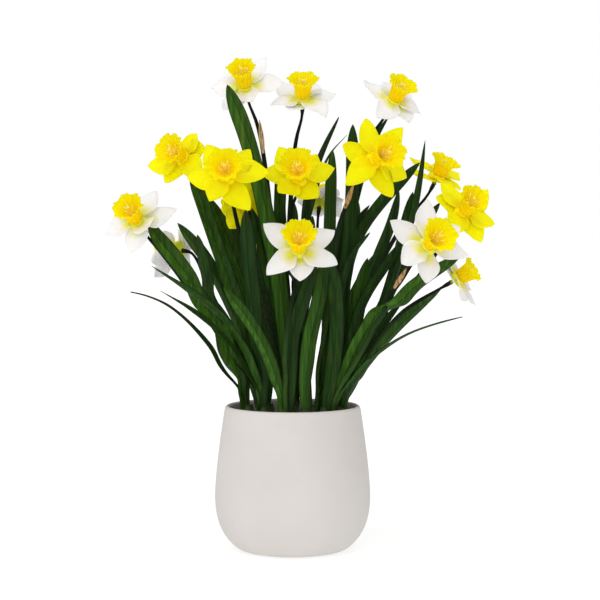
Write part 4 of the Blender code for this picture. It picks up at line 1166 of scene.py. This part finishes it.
def make_trumpet(bloom, materials):
    """The corona of a bloom, with the stamens and the pistil on its floor."""
    skin = Skin()
    add_trumpet(skin, bloom)
    add_stamens(skin, bloom)
    make_piece(f"trumpet_{bloom.name}", skin, materials, f"corona_{bloom.name}")


def make_spathe(stalk, materials):
    """A dry sheath: thin, cupped round the stalk, creased, narrowing to a fine tip."""
    name = stalk.bloom.name
    own = random.Random(f"{name} spathe")
    foot, tip, away = stalk.spathe_line()
    line = np.array(tip - foot)
    along = unit(line)
    across = unit(np.cross(along, np.array(away)))
    facing = np.cross(across, along)
    if facing @ np.array(away) < 0.0:
        facing = -facing
    shares = np.linspace(0.0, 1.0, SPATHE_ROWS)
    half = SPATHE_WIDTH / 2 * through(SPATHE_OUTLINE, shares)
    aside, face = both_faces(SPATHE_COLUMNS)
    crease = np.array([[own.uniform(-1.0, 1.0) for _ in aside] for _ in shares])
    smooth(crease, 2, 0.4)
    crease = (crease + crease[:, ::-1]) / 2
    lift = (
        -SPATHE_CUP * half[:, None] * aside ** 2 + SPATHE_LIFT * shares[:, None]
        + crease * SPATHE_CREASE + face * SPATHE_THICK * SPATHE_SKIN
    )
    places = np.array(foot) + line * shares[:, None]
    skin = Skin()
    skin.add_blade(places, across, facing, half[:, None] * aside, lift,
                   along=shares[:, None], aside=aside, tone=own.random())
    make_piece(f"dry_sheath_{name}", skin, materials, f"spathe_{name}")


def lathe(profile, sides):
    """The rows of a body turned about Z, from (radius, height) points."""
    angles = all_round(sides)
    ring = np.stack([np.cos(angles), np.sin(angles), np.zeros(sides)], axis=1)
    return np.array([ring * radius + np.array([0.0, 0.0, height]) for radius, height in profile])


def rounded_profile(points):
    """A turned outline with its corners rounded off."""
    route = [Vector((radius, height, 0.0)) for radius, height in points]
    return [(place.x, place.y) for place in rounded(route)]


def make_pot(materials):
    """The pot: belly, rolled lip, inner wall and a flat underside."""
    outside, height = POT_OUTSIDE[-1]
    lip = ((outside - LIP_IN[0], POT_HEIGHT), (outside - LIP_IN[1], height - 0.2))
    profile = [
        (POT_MIDDLE, 0.0), (POT_UNDER, 0.0),
        *rounded_profile([*POT_OUTSIDE, *lip, *pot_inside()]), (POT_MIDDLE, POT_FLOOR),
    ]
    skin = Skin()
    skin.add_grid(lathe(profile, POT_FINE_SIDES))
    make_piece("ceramic_pot", skin, materials, "pot")


def soil_height(x, y):
    """The soil's surface: a low crown with lumps of several sizes."""
    crown = SOIL_CROWN - (SOIL_CROWN - SOIL_LEVEL) * (math.hypot(x, y) / SOIL_SPAN) ** 2
    place = Vector((x, y, 0.0))
    lumps = sum(noise.noise(place * fine) * high for fine, high in SOIL_LUMPS)
    return crown - SOIL_SINK + lumps


def add_bit(skin, own, slot, size, flat, stretch):
    """One irregular bit on the soil: a squashed, dented ball."""
    angle = own.uniform(0.0, 2 * math.pi)
    out = BIT_REACH * math.sqrt(own.random())
    x, y = out * math.cos(angle), out * math.sin(angle)
    work = bmesh.new()
    bmesh.ops.create_icosphere(work, subdivisions=1, radius=1.0)
    turn = Matrix.Rotation(own.uniform(0.0, 6.3), 3, "Z")
    turn = turn @ Matrix.Rotation(own.uniform(-BIT_TILT, BIT_TILT), 3, "X")
    seat = Vector((x, y, soil_height(x, y) + size * flat * BIT_SIT))
    corners = []
    for corner in work.verts:
        dent = own.uniform(*DENTS)
        shape = Vector((corner.co.x * stretch, corner.co.y, corner.co.z * flat)) * size * dent
        corners.append(tuple(turn @ shape + seat))
    faces = [[corner.index for corner in face.verts] for face in work.faces]
    work.free()
    skin.add_lump(corners, faces, slot, own.random())


def make_soil(materials):
    """Potting mix: a lumpy surface with bark, grit and white perlite on it."""
    own = random.Random(11)
    *wall, (edge, _) = soil_wall(pot_inside())
    rows = list(lathe([(POT_MIDDLE, POT_FLOOR + GAP), *wall], SOIL_SIDES))
    for radius in np.linspace(edge, 1.0, SOIL_RINGS):
        ring = [(radius * math.cos(a), radius * math.sin(a)) for a in all_round(SOIL_SIDES)]
        rows.append(np.array([(x, y, soil_height(x, y)) for x, y in ring]))
    skin = Skin()
    skin.add_grid(np.array(rows))
    count, sizes, flat = BARK
    for _ in range(count):
        add_bit(skin, own, 1, own.uniform(*sizes), flat, own.uniform(*BARK_STRETCH))
    for slot, (count, sizes, flat), stretch in (
            (2, CLAY, CLAY_STRETCH), (3, PERLITE, PERLITE_STRETCH)):
        for _ in range(count):
            add_bit(skin, own, slot, own.uniform(*sizes), flat, stretch)
    make_piece("potting_mix", skin, materials, "soil")


def screen(rgb):
    """A colour from 0 to 255 as it looks on a screen, as the linear colour of a shader."""
    return (*[((value / 255 + 0.055) / 1.055) ** 2.4 for value in rgb], 1.0)


class Shade:
    """A Principled material and short ways to wire its nodes."""

    def __init__(self, name, roughness, **settings):
        self.material = bpy.data.materials.new(name)
        self.material.use_nodes = True
        self.tree = self.material.node_tree
        self.shader = self.tree.nodes["Principled BSDF"]
        self.shader.inputs["Roughness"].default_value = roughness
        for socket, value in settings.items():
            self.shader.inputs[socket.replace("_", " ")].default_value = value

    def add(self, kind, settings=None, **inputs):
        """A new node with its settings and the values of its sockets."""
        made = self.tree.nodes.new(f"ShaderNode{kind}")
        for key, value in (settings or {}).items():
            setattr(made, key, value)
        for key, value in inputs.items():
            self.feed(value, made.inputs[key])
        return made

    def feed(self, value, socket):
        """A socket is fed by another socket or given a plain value."""
        if isinstance(value, bpy.types.NodeSocket):
            self.tree.links.new(value, socket)
        else:
            socket.default_value = value

    def value(self, name):
        """A named value that the mesh's corners carry."""
        return self.add("Attribute", {"attribute_name": name}).outputs["Fac"]

    def noise(self, scale, detail=4.0, stretch=None):
        """Noise in the object's own space, drawn out where it is given a stretch."""
        place = self.add("TexCoord").outputs["Object"]
        if stretch:
            place = self.add("Mapping", Vector=place, Scale=stretch).outputs["Vector"]
        return self.add("TexNoise", Vector=place, Scale=scale, Detail=detail).outputs["Fac"]

    def maths(self, operation, first, second=0.0, third=0.0):
        """A sum or other reckoning with sockets and plain values."""
        made = self.add("Math", {"operation": operation})
        for socket, value in zip(made.inputs, (first, second, third)):
            self.feed(value, socket)
        return made.outputs[0]

    def times(self, first, second):
        """A product of sockets and plain values."""
        return self.maths("MULTIPLY", first, second)

    def ramp(self, factor, stops):
        """The colour that a ramp has at a factor."""
        made = self.add("ValToRGB", Fac=factor)
        elements = made.color_ramp.elements
        while len(elements) < len(stops):
            elements.new(0.5)
        for element, (place, rgb) in zip(elements, stops):
            element.position = place
            element.color = screen(rgb)
        return made.outputs["Color"]

    def mix(self, factor, first, second, blend="MIX"):
        """Two colours mixed: each is a socket or a colour as it looks on a screen."""
        made = self.add("Mix", {"data_type": "RGBA", "blend_type": blend})
        self.feed(factor, made.inputs["Factor"])
        for socket, colour in zip(made.inputs[6:8], (first, second)):
            self.feed(screen(colour) if isinstance(colour, tuple) else colour, socket)
        return made.outputs[2]

    def finish(self, colour, height, strength, distance):
        """Wire the colour and the bump into the shader."""
        self.feed(colour, self.shader.inputs["Base Color"])
        bump = self.add("Bump", Height=height, Strength=strength, Distance=distance)
        self.tree.links.new(bump.outputs["Normal"], self.shader.inputs["Normal"])
        return self.material


def veins(shade, count, softness):
    """Lines along a blade: 1 on a vein and 0 between two."""
    wobble = shade.times(shade.noise(60.0, 2.0), 0.05)
    aside = shade.maths("ADD", shade.value("aside"), wobble)
    wave = shade.maths("COSINE", shade.times(aside, count * math.pi))
    return shade.maths("POWER", shade.maths("MULTIPLY_ADD", wave, 0.5, 0.5), softness)


def leaf_material():
    """Dark green, paler in long streaks; painted shade darkens the crease, the edges and one half.
    """
    shade = Shade("leaf_green", 0.5, Specular_IOR_Level=0.09)
    body = shade.ramp(shade.noise(1.0, 4.0, (340.0, 340.0, 5.0)), LEAF_GREENS)
    varied = shade.mix(0.8, body, shade.ramp(shade.value("tone"), LEAF_TONES), "OVERLAY")
    # Painted shade: one half of the folded blade, from its middle out, is darkened.
    half = shade.maths("MULTIPLY_ADD", shade.value("aside"), 6.0, 0.5)
    shaded_half_mask = shade.maths("MINIMUM", 1.0, shade.maths("MAXIMUM", half, 0.0))
    half_shaded = shade.mix(shade.times(shaded_half_mask, 0.35), varied, LEAF_PAINTED_SHADE_HALF)
    near = shade.maths("ABSOLUTE", shade.value("aside"))
    # Painted shade: the edges of the blade, where they curl up, are darkened to almost black.
    rim = shade.maths("POWER", near, 14.0)
    rim_shaded = shade.mix(shade.times(rim, 0.8), half_shaded, LEAF_RIM_PAINTED_SHADE)
    # Painted shade: the crease along the blade's middle is darkened to almost black.
    crease = shade.maths("SUBTRACT", 1.0, shade.maths("MINIMUM", 1.0, shade.times(near, 12.0)))
    creased = shade.mix(shade.times(crease, 0.8), rim_shaded, LEAF_CREASE_PAINTED_SHADE)
    blotches = shade.maths("GREATER_THAN", shade.noise(28.0, 3.0), 0.66)
    colour = shade.mix(shade.times(blotches, 0.2), creased, LEAF_RUSSET)
    return shade.finish(colour, veins(shade, 18, 2.0), 0.35, 0.0003)


def stalk_material():
    """Green low down, almost black near the flower: painted shade under the blooms."""
    shade = Shade("stalk_green", 0.6, Specular_IOR_Level=0.1)
    # Painted shade: the stalk is almost black just below its flower.
    body = shade.ramp(shade.value("along"), STALK_GREENS_AND_PAINTED_SHADE)
    mottled = shade.mix(0.5, body, shade.ramp(shade.noise(90.0), STALK_MOTTLE), "OVERLAY")
    return shade.finish(mottled, shade.noise(1.0, 3.0, (900.0, 900.0, 60.0)), 0.25, 0.0003)


def neck_material():
    """The sheaths round the foot of a shoot: pale at the soil, green above."""
    shade = Shade("neck_sheath", 0.5, Specular_IOR_Level=0.2)
    body = shade.ramp(shade.value("along"), NECK_TONES)
    return shade.finish(body, shade.noise(1.0, 4.0, (700.0, 700.0, 40.0)), 0.3, 0.0004)


def petal_material(colour_name):
    """A petal: its own colour with fine veins, and another colour near its root."""
    body, vein, root, reach, glow, _, _ = PETALS[colour_name]
    shade = Shade(f"{colour_name}_petal", 0.62, Specular_IOR_Level=0.08, Subsurface_Weight=0.6,
                  Subsurface_Scale=0.006, Subsurface_Radius=glow)
    grain = shade.noise(120.0, 4.0)
    lines = veins(shade, 14, 2.5)
    lined = shade.mix(shade.times(shade.times(lines, grain), 0.6), body, vein)
    near = shade.maths("SUBTRACT", 1.0, shade.maths("DIVIDE", shade.value("along"), reach))
    middle = shade.maths("SUBTRACT", 1.2, shade.maths("ABSOLUTE", shade.value("aside")))
    spread = shade.times(shade.maths("MAXIMUM", near, 0.0), middle)
    flush = shade.maths("MINIMUM", shade.times(spread, 1.7), 0.9)
    return shade.finish(shade.mix(flush, lined, root), lines, 0.3, 0.0003)


def tube_material(colour_name):
    """The flower tube: green at the ovary, the petals' colour at the front."""
    far, near = PETALS[colour_name][-2:]
    shade = Shade(f"{colour_name}_tube", 0.6, Specular_IOR_Level=0.12)
    body = shade.ramp(shade.value("along"), ((0.0, TUBE_GREEN), (0.3, far), (0.8, near)))
    return shade.finish(body, shade.noise(1.0, 3.0, (500.0, 500.0, 500.0)), 0.15, 0.0003)


def trumpet_material():
    """Golden in the tube, lemon at the frill, in fine streaks; painted light pales the throat."""
    shade = Shade("trumpet_gold", 0.6, Specular_IOR_Level=0.05, Subsurface_Weight=0.9,
                  Subsurface_Scale=0.006, Subsurface_Radius=TRUMPET_GLOW)
    along = shade.value("along")
    outer = shade.ramp(along, TRUMPET_OUTSIDE)
    # Painted light: the inside is paler towards the throat's floor, where shade falls.
    inner = shade.ramp(along, TRUMPET_INSIDE_AND_PAINTED_LIGHT)
    body = shade.mix(shade.value("tone"), outer, inner)
    wave = shade.maths("SINE", shade.times(shade.value("aside"), 75.0))
    crest = shade.maths("MULTIPLY_ADD", wave, 0.5, 0.5)
    streak = shade.times(shade.times(crest, shade.noise(150.0)), 0.45)
    return shade.finish(shade.mix(streak, body, TRUMPET_STREAK), wave, 0.3, 0.0003)


def spathe_material():
    """Papery beige to light brown, with darker veins and spots."""
    shade = Shade("dry_sheath", 0.8, Specular_IOR_Level=0.15)
    grain = shade.noise(1.0, 5.0, (520.0, 520.0, 110.0))
    pale = shade.ramp(grain, SPATHE_PALE)
    body = shade.mix(shade.value("tone"), pale, shade.ramp(grain, SPATHE_TAN))
    lines = veins(shade, 7, 3.0)
    return shade.finish(shade.mix(shade.times(lines, 0.4), body, SPATHE_VEIN), lines, 0.5, 0.0004)


def grainy_material(name):
    """A finish whose colour and relief both come from one fine noise."""
    dark, light, scale, roughness, strength, distance = GRAINY[name]
    shade = Shade(name, roughness)
    grain = shade.noise(scale, 5.0)
    return shade.finish(shade.ramp(grain, ((0.3, dark), (0.7, light))), grain, strength, distance)


def pot_material():
    """Matte warm off-white with a very fine grain and faint clouds."""
    shade = Shade("pot_ceramic", 0.72, Specular_IOR_Level=0.3)
    clouds = shade.noise(14.0, 3.0)
    grain = shade.noise(900.0, 3.0)
    speckled = shade.mix(shade.times(grain, 0.2), shade.ramp(clouds, POT_CLOUDS), POT_GRAIN)
    relief = shade.maths("MULTIPLY_ADD", clouds, 0.6, grain)
    return shade.finish(speckled, relief, 0.35, 0.0003)


def make_world():
    """An even white glow all round, which looks brighter than the light that it gives."""
    world = bpy.data.worlds.new("studio")
    world.use_nodes = True
    nodes = world.node_tree.nodes
    background = nodes["Background"].inputs
    background["Color"].default_value = (1.0, 1.0, 1.0, 1.0)
    seen = nodes.new("ShaderNodeLightPath")
    strength = nodes.new("ShaderNodeMapRange")
    strength.inputs["To Min"].default_value = WORLD_LIGHT
    strength.inputs["To Max"].default_value = 1.0
    world.node_tree.links.new(seen.outputs["Is Camera Ray"], strength.inputs["Value"])
    world.node_tree.links.new(strength.outputs["Result"], background["Strength"])
    bpy.context.scene.world = world


def make_floor():
    """A wide white floor with a glow of its own, so that shadows on it stay faint."""
    mesh = bpy.data.meshes.new("floor")
    work = bmesh.new()
    bmesh.ops.create_grid(work, x_segments=1, y_segments=1, size=FLOOR_HALF)
    work.to_mesh(mesh)
    work.free()
    white = grainy_material("floor_white")
    glow = white.node_tree.nodes["Principled BSDF"].inputs
    glow["Emission Color"].default_value = (1.0, 1.0, 1.0, 1.0)
    glow["Emission Strength"].default_value = FLOOR_GLOW
    mesh.materials.append(white)
    floor = add_object("floor", mesh)
    floor.location.z = -FLOOR_DROP


def make_lights():
    """Soft light from the front and a little from above."""
    for name, place, power, spread in LIGHTS:
        lamp = bpy.data.lights.new(name, "SUN")
        lamp.energy = power
        lamp.angle = math.radians(spread)
        light = add_object(name, lamp)
        light.rotation_euler = Vector(place).to_track_quat("Z", "Y").to_euler()


def make_camera():
    """The camera of the front view, level with the blooms and looking slightly down."""
    aim = Vector((SIGHT_ACROSS, 0.0, SIGHT_UP)) * MM
    back = Vector((0.0, -math.cos(SIGHT_TILT), math.sin(SIGHT_TILT)))
    data = bpy.data.cameras.new("camera")
    data.lens = SIGHT_DISTANCE / FRAME_WIDTH * SENSOR
    data.sensor_width = SENSOR
    data.clip_start = CLIP_NEAR
    camera = add_object("camera", data)
    camera.location = aim + back * SIGHT_DISTANCE * MM
    camera.rotation_euler = (-back).to_track_quat("-Z", "Y").to_euler()
    bpy.context.scene.camera = camera


def main():
    """The studio, and then every piece of the plant from the shoots to the soil."""
    bpy.context.scene.view_settings.view_transform = "Standard"
    make_camera()
    make_world()
    make_floor()
    make_lights()
    blooms, strands = grow()
    greens = [leaf_material(), stalk_material(), neck_material()]
    for shoot in SHOOTS:
        make_shoot(shoot, strands, greens)
    petals = {name: [petal_material(name), tube_material(name)] for name in PETALS}
    trumpet = [trumpet_material(), grainy_material("anther"), grainy_material("filament")]
    for bloom in blooms:
        make_petals(bloom, petals[bloom.colour])
        make_trumpet(bloom, trumpet)
    paper = [spathe_material()]
    for strand in strands:
        if strand.bloom and strand.bloom.name in SPATHES:
            make_spathe(strand, paper)
    make_pot([pot_material()])
    make_soil([grainy_material(name) for name in ("potting_mix", "bark", "clay", "perlite")])


main()
